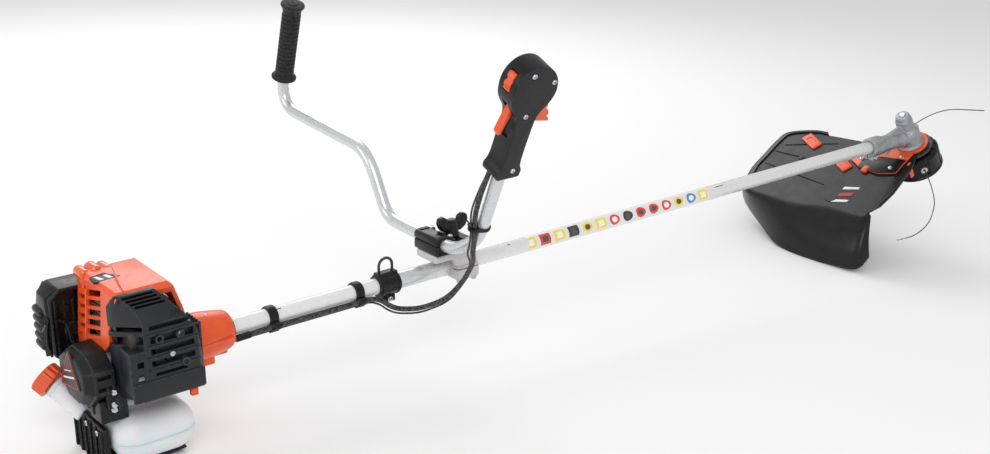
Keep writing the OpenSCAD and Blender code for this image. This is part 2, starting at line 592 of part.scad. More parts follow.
// throttle handle: X forward (trigger side), Y inward, Z up the arm
th0 = 121; th1 = 312;
function shell_out(o) = [[-16 + o, th0], [16 - o, th0], [18 - o, th0 + 14], [20 - o, th0 + 30],
    [22 - o, th0 + 116], [34 - o, th0 + 122], [37 - o, th0 + 132], [37 - o, th1 - 14 - o],
    [26 - o, th1 - o], [-28 + o, th1 - o], [-37 + o, th1 - 16], [-37 + o, th0 + 130],
    [-22 + o, th0 + 118], [-20 + o, th0 + 30], [-18 + o, th0 + 14]];
module shell(y1, y2) difference() {
    slab(shell_out(0), y1, y2);
    translate([0, 0, th0 - 5]) cylinder(h = 70, r = br + 2 * fit);
    // room for trigger, lever and switch
    slab([[-30, th0 + 70], [30, th0 + 70], [30, th0 + 135], [30, th1 - 20], [-30, th1 - 20],
        [-30, th0 + 135]], -9, 9);
    slab([[10.4, th0 + 32], [40, th0 + 32], [40, th0 + 128], [10.4, th0 + 128]], -9, 9);
    slab([[-40, th0 + 26], [-10.4, th0 + 26], [-10.4, th0 + 128], [-40, th0 + 128]], -7, 7);
    slab([[-50, th0 + 146], [-28, th0 + 146], [-28, th0 + 172], [-50, th0 + 172]], -7, 7);
    for (p = screw_at) translate([p[0], -30, p[1]]) rotate([-90, 0, 0])
        cylinder(h = 60, r = 2.02, $fn = 24);
    for (p = [[14, th0 + 124], [-14, th0 + 124]]) translate([p[0], -12, p[1]])
        rotate([-90, 0, 0]) cylinder(h = 24, r = 3 + fit, $fn = 32);
    translate([-6, 0, th0 - 6]) rotate([0, 0, 0]) translate([0, -16, 0]) cylinder(h = 14, r = 4.2);
}
screw_at = [[33, th0 + 140], [-32, th0 + 138], [32, th1 - 16], [-14, th0 + 20.5]];
module throttle_shell_outer() color(dark) rest() throttle_frame() shell(-17, 0);
module throttle_shell_inner() color(dark) rest() throttle_frame() shell(0.02, 17);
module throttle_screws() color(metal) rest() throttle_frame() for (p = screw_at)
    translate([p[0], -17.1, p[1]]) {
        rotate([-90, 0, 0]) cylinder(h = 30, r = 2, $fn = 24);
        rotate([90, 0, 0]) cylinder(h = 2.5, r = 4.5, $fn = 24);
    }
module throttle_trigger() color(orange) rest() throttle_frame() {
    slab([[10.8, th0 + 127], [17, th0 + 127], [24, th0 + 108], [40, th0 + 74], [48, th0 + 54],
        [50, th0 + 44], [46, th0 + 42], [40, th0 + 52], [31, th0 + 68], [26, th0 + 84],
        [14, th0 + 106]], -7, 7);
    translate([14, -11, th0 + 124]) rotate([-90, 0, 0]) cylinder(h = 22, r = 3);
}
module lockout_lever() color(orange) rest() throttle_frame() {
    slab([[-10.8, th0 + 127], [-17, th0 + 127], [-24, th0 + 100], [-27, th0 + 60],
        [-26, th0 + 32], [-23.5, th0 + 32], [-23, th0 + 60], [-19, th0 + 100]], -5, 5);
    translate([-14, -11, th0 + 124]) rotate([-90, 0, 0]) cylinder(h = 22, r = 3);
}
module stop_switch() color(orange) rest() throttle_frame() {
    slab([[-42, th0 + 150], [-31, th0 + 148], [-31, th0 + 164], [-42, th0 + 162]], -6, 6);
}

module throttle_cable() color(black) rest() sweep(smooth(cable_pts, 14, 2), 4, 10);
module stop_wire() color(black) rest() sweep(smooth(wire_pts, 14, 2), 1.5, 8);
// strap that holds the cable beside the bar's right arm
module strap(r1, r2) hull() { circle(r1, $fn = 32); translate([-17.5, 0]) circle(r2, $fn = 24); }
module cable_tie() color(black) rest() throttle_frame() translate([0, 0, 16]) linear_extrude(4)
    difference() { strap(br + 2.2, 8.2); strap(br + 1, 7); }

// ---- cutting head ----
module gear_case() color(metal) rest() difference() {
    union() {
        rod(tube_front - 17, tube_front + 20, 19);
        box([tube_front - 15, -11, -25], [tube_front - 1, 11, -8]);
        rod(tube_front + 18, gear_s - 20, 16.5);
        rod(gear_s - 46, gear_s - 10, 18);
        head_frame() translate([0, 0, -22]) cylinder(h = 36, r = 25);
        head_frame() translate([0, 0, -22 - 30]) cylinder(h = 32, r = 17);
        head_frame() translate([0, 0, -60]) cylinder(h = 10, r = 14);
        head_frame() translate([0, 0, 14]) cylinder(h = 8, r = 29);
    }
    rod(tube_front - 30, tube_front, tube_r + 0.02);
    rod(tube_front - 1, gear_s - 40, shaft_r + 2.5);
    rod(gear_s - 44, gear_s - 32, 11);
    rod(gear_s - 34, gear_s, 11.6);
    head_frame() translate([0, 0, -15]) cylinder(h = 27, r = 21.5);
    head_frame() translate([0, 0, -46]) cylinder(h = 40, r = 9);
    head_frame() translate([0, 0, 11]) cylinder(h = 9, r = 13);
    head_frame() translate([0, 0, 11]) cylinder(h = 20, r = 9);
    box([tube_front - 40, -0.8, -40], [tube_front - 0.5, 0.8, 0]);
    translate([tube_front - 8, -20, -19]) rotate([-90, 0, 0]) cylinder(h = 50, r = 2.6, $fn = 32);
}
module pinion_gear() color(metal) rest() {
    r2 = cone; r1 = cone - 6.5;
    translate([gear_s, 0, 0]) rotate([0, -90, 0]) difference() {
        union() {
            rotate_extrude() polygon([[0, r1 * cos(pin_angle)], [r1 * sin(pin_angle - 4),
                r1 * cos(pin_angle - 4)], [r2 * sin(pin_angle - 4), r2 * cos(pin_angle - 4)],
                [8, r2 * cos(pin_angle) + 3], [0, r2 * cos(pin_angle) + 3]]);
            for (k = [0:pinion_teeth - 1]) rotate(k * 360 / pinion_teeth)
                tooth(r1, r2, pin_angle - 10, pin_angle + 2.5, 1.5, 0.6);
            translate([0, 0, 17]) cylinder(h = 27, r = 5);
        }
        translate([0, 0, 21]) cylinder(h = 30, r = shaft_r + 0.02);
    }
}
module output_gear() color(metal) rest() head_frame() {
    r2 = cone; r1 = cone - 6.5;
    translate([0, 0, 1.3]) cylinder(h = 7, r = cone + 0.8);
    for (k = [0:gear_teeth - 1]) rotate((k + 0.5) * 360 / gear_teeth)
        tooth(r1, r2, 80, 92.5, 1.5, 0.6);
    translate([0, 0, -45.5]) cylinder(h = 48, r = 4);
    translate([0, 0, 5]) cylinder(h = 55, r = spr);
    translate([0, 0, 59]) cylinder(h = 8, r = spr - 2);
}
// curved skirt: outer face from crease to rim, inner face one wall inside
module guard_skirt() {
    n = len(crease);
    c0 = [120, 100, 0];
    mid = [for (i = [0:n - 1]) let (d = rim[i] - crease[i]) crease[i] + [d[0] * 0.62, d[1] * 0.62, d[2] * 0.42]];
    function inn(p) = let (d = [p[0] - c0[0], p[1] - c0[1], 0]) p - guard_t * unit(d);
    outer = [crease, mid, rim];
    pts = [for (row = outer) each row, for (row = outer) each [for (p = row) inn(p)]];
    function id(s, r, i) = (s * 3 + r) * n + i;
    polyhedron(pts, concat(
        [for (r = [0:1], i = [0:n - 2], h = [0, 1]) h == 0 ?
            [id(0, r, i), id(0, r, i + 1), id(0, r + 1, i)] :
            [id(0, r, i + 1), id(0, r + 1, i + 1), id(0, r + 1, i)]],
        [for (r = [0:1], i = [0:n - 2], h = [0, 1]) h == 0 ?
            [id(1, r, i), id(1, r + 1, i), id(1, r, i + 1)] :
            [id(1, r, i + 1), id(1, r + 1, i), id(1, r + 1, i + 1)]],
        [for (i = [0:n - 2]) [id(0, 0, i), id(1, 0, i), id(1, 0, i + 1), id(0, 0, i + 1)]],
        [for (i = [0:n - 2]) [id(0, 2, i), id(0, 2, i + 1), id(1, 2, i + 1), id(1, 2, i)]],
        [[for (r = [0:2]) id(0, r, 0), for (r = [2:-1:0]) id(1, r, 0)]],
        [[for (r = [2:-1:0]) id(0, r, n - 1), for (r = [0:2]) id(1, r, n - 1)]]));
}
module debris_guard() color(dark) rest() head_frame() {
    difference() {
        translate([0, 0, 20]) linear_extrude(guard_t) polygon(deck_pts);
        translate([0, 0, 10]) cylinder(h = 20, r = 30);
    }
    guard_skirt();
}
module guard_bracket() color(orange) rest() head_frame() difference() {
    union() {
        translate([0, 0, 16]) linear_extrude(3.9) polygon([[28, -26], [90, -26], [104, 10],
            [100, 60], [88, 87], [40, 87], [28, 40]]);
        translate([0, 0, 16]) cylinder(h = 3.9, r = 36);
    }
    translate([0, 0, 10]) cylinder(h = 4.01, r = 60);
    translate([0, 0, 12]) cylinder(h = 10, r = 29.02);
}
module line_cutter() color(metal) rest() head_frame()
    translate([guard_reach - 77, -44, 47]) rotate([0, 0, 8]) cube([30, 2, 16]);
module safety_plate() color(black) rest() head_frame() difference() {
    translate([0, 0, 24]) cylinder(h = 4, r = 43);
    translate([0, 0, 20]) cylinder(h = 10, r = spr + 0.02);
}
module head_housing() color(black) rest() head_frame() difference() {
    union() {
        translate([0, 0, 29]) cylinder(h = 6, r = 34);
        translate([0, 0, 34]) cylinder(h = 46, r = hr);
        translate([0, 0, 76]) cylinder(h = 4, r = hr + 1.5);
    }
    difference() {
        translate([0, 0, 38]) cylinder(h = 38, r = hr - 4);
        translate([0, 0, 30]) cylinder(h = 24, r = spr + 5);
    }
    translate([0, 0, 70]) cylinder(h = 20, r = 36);
    translate([0, 0, 25]) cylinder(h = 40, r = spr + 0.02);
    for (a = [123, 303]) rotate(a) translate([hr - 12, 0, 55]) rotate([0, 90, 0])
        cylinder(h = 20, r = 5.02);
    for (k = [0:7]) rotate(k * 45 + 22.5) translate([hr + 2, 0, 33]) cylinder(h = 38, r = 5);
}
module line_eyelets() color(metal) rest() head_frame() for (a = [123, 303]) rotate(a)
    translate([hr - 5, 0, 55]) rotate([0, 90, 0]) difference() {
        union() { cylinder(h = 6.2, r = 5); translate([0, 0, 6]) cylinder(h = 2, r = 6.5); }
        translate([0, 0, -1]) cylinder(h = 12, r = line_d / 2 + 0.8, $fn = 24);
    }
module line_spool() color(black) rest() head_frame() translate([0, 0, 38 + bump + 0.5]) difference() {
    union() { cylinder(h = 3, r = hr - 5); translate([0, 0, 22]) cylinder(h = 3, r = hr - 5);
        cylinder(h = 25, r = 22); cylinder(h = 23, r = hr - 10); }
    translate([0, 0, -1]) cylinder(h = 40, r = spr + 5 + 2);
}
module spool_knob() color(black) rest() head_frame() difference() {
    union() {
        translate([0, 0, 38 + bump + 25.5]) cylinder(h = 14, r = 34);
        translate([0, 0, 38 + bump + 39]) cylinder(h = 7, r = 27);
    }
    translate([0, 0, 60]) cylinder(h = 18, r = 10);
}
module trimmer_lines() color(black) rest() head_frame() {
    sweep(smooth(line_a, 10, 2), line_d / 2, 8);
    sweep(smooth(line_b, 10, 2), line_d / 2, 8);
}

crankcase();
cylinder_node();  // cylinder
piston();
crankshaft();
flywheel();
fan_housing();
starter_cover();
starter_grip();
engine_cover();
spark_plug();
muffler();
muffler_cover();
filter_cover();
filter_element();
carburettor();
purge_bulb();
choke_lever();
fuel_tank();
fuel_cap();
tank_guard();
clutch_housing();
clutch_drum();
clutch_shoes();
engine_screws();
drive_tube();
shaft_bushes();
drive_shaft();
cable_clips();
hanger_clamp();
hanger_eye();
tube_bolts();
handle_bracket();
clamp_base();
clamp_cap();
clamp_screws();
wing_knob();
handlebar();
left_grip();
throttle_shell_outer();
throttle_shell_inner();
throttle_trigger();
lockout_lever();
stop_switch();
throttle_screws();
throttle_cable();
stop_wire();
cable_tie();
gear_case();
pinion_gear();
output_gear();
bearings();
debris_guard();
guard_bracket();
line_cutter();
safety_plate();
head_housing();
line_spool();
spool_knob();
line_eyelets();
trimmer_lines();
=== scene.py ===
"""Looks of a petrol string trimmer with a U handlebar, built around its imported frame.

Everything is laid out in the shaft frame, in millimetres: X runs along the drive tube
from the clutch housing's front face towards the cutting head, Y points to the
operator's left and Z up. REST carries a point from there to the resting machine.
"""
import json
import logging
import math
from collections.abc import Callable, Iterable, Sequence
from dataclasses import dataclass
from enum import Enum

import bmesh
import bpy
from mathutils import Matrix, Vector


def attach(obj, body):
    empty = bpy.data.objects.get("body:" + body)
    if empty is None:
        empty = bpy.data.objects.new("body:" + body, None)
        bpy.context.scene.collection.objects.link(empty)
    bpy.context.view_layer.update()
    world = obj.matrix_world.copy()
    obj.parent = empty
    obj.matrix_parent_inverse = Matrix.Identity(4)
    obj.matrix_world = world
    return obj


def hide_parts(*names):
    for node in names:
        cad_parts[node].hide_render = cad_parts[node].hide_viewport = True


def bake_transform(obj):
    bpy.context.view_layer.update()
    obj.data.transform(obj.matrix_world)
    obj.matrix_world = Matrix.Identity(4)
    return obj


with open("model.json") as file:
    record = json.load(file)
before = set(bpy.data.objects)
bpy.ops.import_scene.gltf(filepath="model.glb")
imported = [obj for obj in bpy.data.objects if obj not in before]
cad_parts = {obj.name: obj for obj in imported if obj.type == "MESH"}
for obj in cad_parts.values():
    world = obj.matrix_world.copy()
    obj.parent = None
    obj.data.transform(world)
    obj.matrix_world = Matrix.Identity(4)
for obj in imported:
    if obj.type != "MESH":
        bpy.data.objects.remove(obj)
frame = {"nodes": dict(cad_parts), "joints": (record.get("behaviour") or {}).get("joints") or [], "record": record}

log = logging.getLogger("trimmer")
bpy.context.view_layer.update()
MM = 0.001
FOOT = Vector((160.0, 0.0, 137.5))      # from the skid's middle to the shaft frame's origin
Point = Sequence[float]
Colour = tuple[float, float, float]
CORNER_SHARE = 0.48                     # share of a side that a rounded corner may take
WELD, PINHOLE = 0.004, 0.008            # points this near merge after a boolean, and at the end
SLIVER = 0.002                          # edges shorter than this are dissolved
FLAT_TURN, HULL_TURN = 0.003, 0.02      # faces that turn by less are merged, in radians
BENDS = "none"                          # stands for no body: pieces given it are attached to none


def shaft_rise() -> float:
    """Angle by which the shaft rises towards the head.

    Returns:
        The angle in radians.

    Raises:
        ValueError: The frame has no crank_spin joint.
    """
    for joint in frame["joints"]:
        if joint["name"] == "crank_spin":
            return math.atan2(joint["axis"][2], joint["axis"][0])
    raise ValueError("the frame has no crank_spin joint")


RISE = shaft_rise()
REST = Matrix.Scale(MM, 4) @ Matrix.Rotation(-RISE, 4, "Y") @ Matrix.Translation(FOOT)
HEAD = Matrix.Translation((1571, 0, 0)) @ Matrix.Rotation(math.radians(150), 4, "Y")
THROTTLE = Matrix.Translation((358, -117, 92)) @ Matrix.Rotation(math.radians(23.8), 4, "X")
GRIP = Matrix.Translation((358, 447, 222)) @ Matrix.Rotation(math.radians(18.4), 4, "X")
NECK = (Matrix.Translation((-208, 40, -72)) @ Matrix.Rotation(math.radians(128.3), 4, "Z")
        @ Matrix.Rotation(math.radians(52.4), 4, "Y"))
BODY_OF = {node: body for body, nodes in frame["record"]["behaviour"]["bodies"].items()
           for node in nodes}
SLOT_OF = {part["node"]: part["material_slot"] for part in frame["record"]["subparts"]}


def at_rest(point: Point) -> Vector:
    """A shaft-frame point, in millimetres, as a point of the resting machine in metres."""
    return REST @ Vector(point)


class Plane(Enum):
    """The plane that an outline is drawn in, and so the way that it is extruded."""

    SIDE = "xz"
    FRONT = "yz"
    TOP = "xy"

    def place(self, u: float, v: float, w: float) -> Vector:
        """The point that is (u, v) in the plane and w off it."""
        values = dict(zip(self.value, (u, v)))
        return Vector([values.get(axis, w) for axis in "xyz"])


def rounded(path: Sequence[Point], reach: float, steps: int) -> list[Vector]:
    """Rounds each inner corner of a path.

    Args:
        path: The path's corner points.
        reach: How far before and after a corner its curve starts and ends.
        steps: Pieces in each curve.

    Returns:
        The points of the rounded path.
    """
    points = [Vector(p) for p in path]
    out = [points[0]]
    for before, here, after in zip(points, points[1:], points[2:]):
        back, on = before - here, after - here
        start = here + back.normalized() * min(reach, back.length * CORNER_SHARE)
        end = here + on.normalized() * min(reach, on.length * CORNER_SHARE)
        for k in range(steps + 1):
            t = k / steps
            out.append(start.lerp(here, t).lerp(here.lerp(end, t), t))
    return [*out, points[-1]]


def spline(path: Sequence[Point], steps: int) -> list[Vector]:
    """A smooth curve through every point of a path.

    Args:
        path: The points that it passes through.
        steps: Pieces between two points.

    Returns:
        The curve's points.
    """
    points = [Vector(p) for p in path]
    padded = [2 * points[0] - points[1], *points, 2 * points[-1] - points[-2]]
    out = []
    for a, b, c, d in zip(padded, padded[1:], padded[2:], padded[3:]):
        for k in range(steps):
            t = k / steps
            out.append(0.5 * ((2 * b) + (c - a) * t + (2 * a - 5 * b + 4 * c - d) * t ** 2
                              + (3 * b - a - 3 * c + d) * t ** 3))
    return [*out, points[-1]]


class Solid:
    """A closed shape that is being made, in millimetres."""

    def __init__(self, mesh: bmesh.types.BMesh | None = None) -> None:
        """Starts from a given bmesh, or from nothing."""
        self.mesh = mesh or bmesh.new()

    @classmethod
    def box(cls, low: Point, high: Point) -> "Solid":
        """A block between two corners.

        Args:
            low: Its lowest corner.
            high: Its highest corner.

        Returns:
            The block.
        """
        solid = cls()
        a, b = Vector(low), Vector(high)
        size = Matrix.Diagonal((*(b - a), 1))
        bmesh.ops.create_cube(solid.mesh, size=1, matrix=Matrix.Translation((a + b) / 2) @ size)
        return solid

    @classmethod
    def rod(cls, start: Point, end: Point, radius: float, far: float | None = None,
            steps: int = 32) -> "Solid":
        """A round or tapered bar.

        Args:
            start: The middle of its first end.
            end: The middle of its other end.
            radius: Its radius at start.
            far: Its radius at end, by default the same.
            steps: Its sides.

        Returns:
            The bar.
        """
        solid = cls()
        a, b = Vector(start), Vector(end)
        turn = (b - a).to_track_quat("Z", "Y").to_matrix().to_4x4()
        bmesh.ops.create_cone(solid.mesh, cap_ends=True, segments=steps, radius1=radius,
                              radius2=radius if far is None else far, depth=(b - a).length,
                              matrix=Matrix.Translation((a + b) / 2) @ turn)
        return solid

    @classmethod
    def prism(cls, outline: Sequence[Sequence[float]], plane: Plane, near: float,
              far: float) -> "Solid":
        """An outline, extruded.

        Args:
            outline: Its (u, v) points.
            plane: The plane that they lie in.
            near: How far off the plane the shape starts.
            far: How far off the plane it ends.

        Returns:
            The extruded shape.
        """
        solid = cls()
        face = solid.mesh.faces.new([solid.mesh.verts.new(plane.place(u, v, near))
                                     for u, v in outline])
        made = bmesh.ops.extrude_face_region(solid.mesh, geom=[face])
        verts = [g for g in made["geom"] if isinstance(g, bmesh.types.BMVert)]
        bmesh.ops.translate(solid.mesh, verts=verts, vec=plane.place(0, 0, far - near))
        return solid.outward()

    @classmethod
    def lathe(cls, profile: Sequence[Sequence[float]], start: Point = (0, 0, 0),
              axis: Point = (1, 0, 0), steps: int = 48, closed: bool = False) -> "Solid":
        """A profile turned about an axis.

        Args:
            profile: (distance along the axis, radius) pairs.
            start: The point where the distance is nought.
            axis: The axis's direction.
            steps: Pieces in the full turn.
            closed: Whether the profile is a ring, as for a hollow shape.

        Returns:
            The turned shape.
        """
        solid = cls()
        along, origin = Vector(axis).normalized(), Vector(start)
        off = along.orthogonal().normalized()
        verts = [solid.mesh.verts.new(origin + along * s + off * r) for s, r in profile]
        pairs = list(zip(verts, verts[1:])) + ([(verts[-1], verts[0])] if closed else [])
        edges = [solid.mesh.edges.new(pair) for pair in pairs]
        bmesh.ops.spin(solid.mesh, geom=verts + edges, cent=origin, axis=along,
                       angle=math.tau, steps=steps, use_merge=True)
        bmesh.ops.remove_doubles(solid.mesh, verts=solid.mesh.verts, dist=0.001)
        return solid.outward()

    @classmethod
    def tube(cls, path: Sequence[Point], radius: float, sides: int = 12,
             squeeze: float = 0.0, twist: float = 0.0) -> "Solid":
        """A bar swept along a path.

        Args:
            path: The points that its middle follows.
            radius: Its radius.
            sides: Its sides.
            squeeze: Share by which every second corner is drawn in.
            twist: Turn about its own axis for each millimetre, in radians.

        Returns:
            The swept bar, closed at both ends.
        """
        solid = cls()
        points = [Vector(p) for p in path]
        ways = [(points[min(i + 1, len(points) - 1)] - points[max(i - 1, 0)]).normalized()
                for i in range(len(points))]
        turn, seats = ways[0].to_track_quat("Z", "Y"), []
        for i, (point, way) in enumerate(zip(points, ways)):
            if i:
                turn = ways[i - 1].rotation_difference(way) @ turn
                roll = twist * (point - points[i - 1]).length
                turn = turn @ Matrix.Rotation(roll, 3, "Z").to_quaternion()
            seats.append(Matrix.Translation(point) @ turn.to_matrix().to_4x4())
        made = bmesh.ops.create_circle(solid.mesh, segments=sides, radius=radius)
        if squeeze:
            inner = made["verts"][::2]
            bmesh.ops.scale(solid.mesh, verts=inner, vec=(1 - squeeze,) * 3)
        bmesh.ops.transform(solid.mesh, matrix=seats[0], verts=solid.mesh.verts)
        ring = first = list(solid.mesh.edges)
        for before, seat in zip(seats, seats[1:]):
            made = bmesh.ops.extrude_edge_only(solid.mesh, edges=ring)
            ring = [g for g in made["geom"] if isinstance(g, bmesh.types.BMEdge)]
            verts = [g for g in made["geom"] if isinstance(g, bmesh.types.BMVert)]
            bmesh.ops.transform(solid.mesh, matrix=seat @ before.inverted(), verts=verts)
        bmesh.ops.holes_fill(solid.mesh, edges=first + ring, sides=0)
        return solid.outward()

    @classmethod
    def hull(cls, points: Iterable[Point]) -> "Solid":
        """The tightest shape with no hollow round some points.

        Args:
            points: The points.

        Returns:
            The shape, its flat faces merged.
        """
        solid = cls()
        verts = [solid.mesh.verts.new(p) for p in points]
        made = bmesh.ops.convex_hull(solid.mesh, input=verts)
        loose = [g for g in made["geom_interior"] if isinstance(g, bmesh.types.BMVert)]
        bmesh.ops.delete(solid.mesh, geom=loose, context="VERTS")
        bmesh.ops.dissolve_limit(solid.mesh, angle_limit=HULL_TURN, verts=solid.mesh.verts,
                                 edges=solid.mesh.edges)
        return solid.outward()

    @classmethod
    def skin(cls, rows: Sequence[Sequence[Point]], thickness: float) -> "Solid":
        """A curved sheet through rows of points, given a thickness.

        Args:
            rows: Rows of points, each as long as the others.
            thickness: The sheet's thickness, inwards.

        Returns:
            The closed sheet.
        """
        solid = cls()
        loops = []
        for row in rows:
            verts = [solid.mesh.verts.new(p) for p in row]
            loops.append([solid.mesh.edges.new(pair) for pair in zip(verts, verts[1:])])
        for one, two in zip(loops, loops[1:]):
            bmesh.ops.bridge_loops(solid.mesh, edges=one + two)
        bmesh.ops.recalc_face_normals(solid.mesh, faces=solid.mesh.faces)
        bmesh.ops.solidify(solid.mesh, geom=solid.mesh.faces, thickness=thickness)
        return solid.outward()

    def outward(self) -> "Solid":
        """Turns every face outwards."""
        bmesh.ops.recalc_face_normals(self.mesh, faces=self.mesh.faces)
        return self

    def mend(self) -> "Solid":
        """Merges points that meet and fills any pinholes left by a boolean.

        Returns:
            This shape.
        """
        bmesh.ops.remove_doubles(self.mesh, verts=self.mesh.verts, dist=PINHOLE)
        bmesh.ops.dissolve_degenerate(self.mesh, edges=self.mesh.edges, dist=SLIVER)
        loose = [e for e in self.mesh.edges if e.is_boundary]
        bmesh.ops.holes_fill(self.mesh, edges=loose, sides=0)
        return self

    def bevel(self, width: float, segments: int = 3, limit: float = 30) -> "Solid":
        """Rounds the sharp edges.

        Args:
            width: How far a rounding reaches from its edge.
            segments: Strips in each rounding.
            limit: Edges that turn by more than this many degrees are rounded.

        Returns:
            This shape.
        """
        edges = [e for e in self.mesh.edges
                 if len(e.link_faces) == 2 and e.calc_face_angle(0) > math.radians(limit)]
        bmesh.ops.bevel(self.mesh, geom=edges, offset=width, offset_type="OFFSET",
                        segments=segments, profile=0.5, affect="EDGES", clamp_overlap=True,
                        material=-1)
        return self

    def place(self, matrix: Matrix) -> "Solid":
        """Moves the shape by a matrix."""
        bmesh.ops.transform(self.mesh, matrix=matrix, verts=self.mesh.verts)
        return self.outward() if matrix.determinant() < 0 else self

    def move(self, x: float = 0, y: float = 0, z: float = 0) -> "Solid":
        """Shifts the shape."""
        return self.place(Matrix.Translation((x, y, z)))

    def turn(self, degrees: float, axis: str, about: Point = (0, 0, 0)) -> "Solid":
        """Turns the shape.

        Args:
            degrees: How far.
            axis: The axis, X, Y or Z.
            about: A point on it.

        Returns:
            This shape.
        """
        shift = Matrix.Translation(about)
        return self.place(shift @ Matrix.Rotation(math.radians(degrees), 4, axis)
                          @ shift.inverted())

    def copy(self) -> "Solid":
        """A second shape like this one."""
        return Solid(self.mesh.copy())

    def shrunk(self, wall: float, drop: float = 0) -> "Solid":
        """A smaller copy for hollowing this shape.

        Args:
            wall: How far inside this shape's box it stays on each side.
            drop: How far it is lowered.

        Returns:
            The copy.
        """
        low, high = self.extent()
        size, middle = high - low, (low + high) / 2
        scale = Matrix.Diagonal([max(1 - 2 * wall / s, 0.1) for s in size] + [1])
        shift = Matrix.Translation(middle)
        return self.copy().place(Matrix.Translation((0, 0, -drop)) @ shift @ scale
                                 @ shift.inverted())

    def extent(self) -> tuple[Vector, Vector]:
        """The corners of the shape's box.

        Returns:
            The lowest and the highest corner.
        """
        spots = [v.co for v in self.mesh.verts]
        return (Vector([min(p[k] for p in spots) for k in range(3)]),
                Vector([max(p[k] for p in spots) for k in range(3)]))

    def add(self, *others: "Solid") -> "Solid":
        """Puts other closed shapes beside this one, as they are.

        Args:
            *others: The other shapes.

        Returns:
            This shape.
        """
        for other in others:
            spare = bpy.data.meshes.new("spare")
            other.mesh.to_mesh(spare)
            self.mesh.from_mesh(spare)
            bpy.data.meshes.remove(spare)
        return self

    def cut(self, *tools: "Solid") -> "Solid":
        """Takes shapes that don't cross each other away from this one."""
        return self._combine("DIFFERENCE", tools)

    def meet(self, *tools: "Solid") -> "Solid":
        """Keeps what this shape shares with each of the others.

        Args:
            *tools: The other shapes.

        Returns:
            This shape.
        """
        for tool in tools:
            self._combine("INTERSECT", (tool,))
        return self

    def fuse(self, *tools: "Solid") -> "Solid":
        """Joins shapes into one skin.

        Args:
            *tools: The other shapes.

        Returns:
            This shape.
        """
        for tool in tools:
            self._combine("UNION", (tool,))
        return self

    def blend_shapes(self, voxel: float, rounds: int) -> "Solid":
        """Remeshes the shape and lets its corners run into each other, as in a casting.

        Args:
            voxel: The remesh's cell size.
            rounds: How often the surface is relaxed.

        Returns:
            This shape.
        """
        def melt(thing: bpy.types.Object) -> None:
            """Adds the remesh and the smoothing."""
            remesh = thing.modifiers.new("voxels", "REMESH")
            remesh.mode, remesh.voxel_size = "VOXEL", voxel
            relax = thing.modifiers.new("relax", "SMOOTH")
            relax.factor, relax.iterations = 0.5, rounds
        return self._evaluate(melt)

    def _combine(self, kind: str, tools: Sequence["Solid"]) -> "Solid":
        """Runs one exact boolean.

        Args:
            kind: Its operation.
            tools: The shapes that make up its second operand.

        Returns:
            This shape.
        """
        other = Solid().add(*tools)._object()

        def join(thing: bpy.types.Object) -> None:
            """Adds the boolean."""
            modifier = thing.modifiers.new("join", "BOOLEAN")
            modifier.operation, modifier.object, modifier.solver = kind, other, "EXACT"
            modifier.use_self = True
        self._evaluate(join)
        data = other.data
        bpy.data.objects.remove(other)
        bpy.data.meshes.remove(data)
        bmesh.ops.remove_doubles(self.mesh, verts=self.mesh.verts, dist=WELD)
        bmesh.ops.dissolve_limit(self.mesh, angle_limit=FLAT_TURN, verts=self.mesh.verts,
                                 edges=self.mesh.edges)
        return self

    def _object(self) -> bpy.types.Object:
        """The shape as an object, for a modifier.

        Returns:
            The object.
        """
        data = bpy.data.meshes.new("work")
        self.mesh.to_mesh(data)
        thing = bpy.data.objects.new("work", data)
        bpy.context.scene.collection.objects.link(thing)
        return thing

    def _evaluate(self, setup: Callable[[bpy.types.Object], None]) -> "Solid":
        """Replaces the shape with what modifiers make of it.

        Args:
            setup: Adds the modifiers to an object.

        Returns:
            This shape.
        """
        thing = self._object()
        setup(thing)
        graph = bpy.context.evaluated_depsgraph_get()
        made = bpy.data.meshes.new_from_object(thing.evaluated_get(graph))
        self.mesh.free()
        self.mesh = bmesh.new()
        self.mesh.from_mesh(made)
        data = thing.data
        bpy.data.objects.remove(thing)
        bpy.data.meshes.remove(data)
        bpy.data.meshes.remove(made)
        return self


def ring_of(count: int, shape: Solid, axis: str = "Z", start: float = 0) -> list[Solid]:
    """Copies of a shape, evenly round an axis through the origin."""
    return [shape.copy().turn(start + 360 * k / count, axis) for k in range(count)]


def screw(at: Point, axis: Point, radius: float = 4.0, height: float = 2.4) -> Solid:
    """A pan head with a six-sided socket.

    Args:
        at: Where it stands.
        axis: The way that it faces.
        radius: The head's radius.
        height: The head's height.

    Returns:
        The head.
    """
    profile = [(-1.0, 0), (-1.0, radius), (height * 0.45, radius),
               (height * 0.85, radius * 0.86), (height, radius * 0.62), (height, 0)]
    way, spot = Vector(axis).normalized(), Vector(at)
    head = Solid.lathe(profile, spot, way, 24)
    socket = Solid.rod(spot + way * height * 0.35, spot + way * (height + 1), radius * 0.45,
                       steps=6)
    return head.cut(socket)


Value = float | tuple[float, ...] | bpy.types.NodeSocket
LIGHTEST_ROUGH, DARKEST_ROUGH = 0.82, 1.2       # roughness of the extreme patches, as shares
RUB_LIGHTENS = 0.45                             # how far a rubbed edge goes towards white
EDGE_TURN = 0.17                                # a face that turns by more can wear, in radians


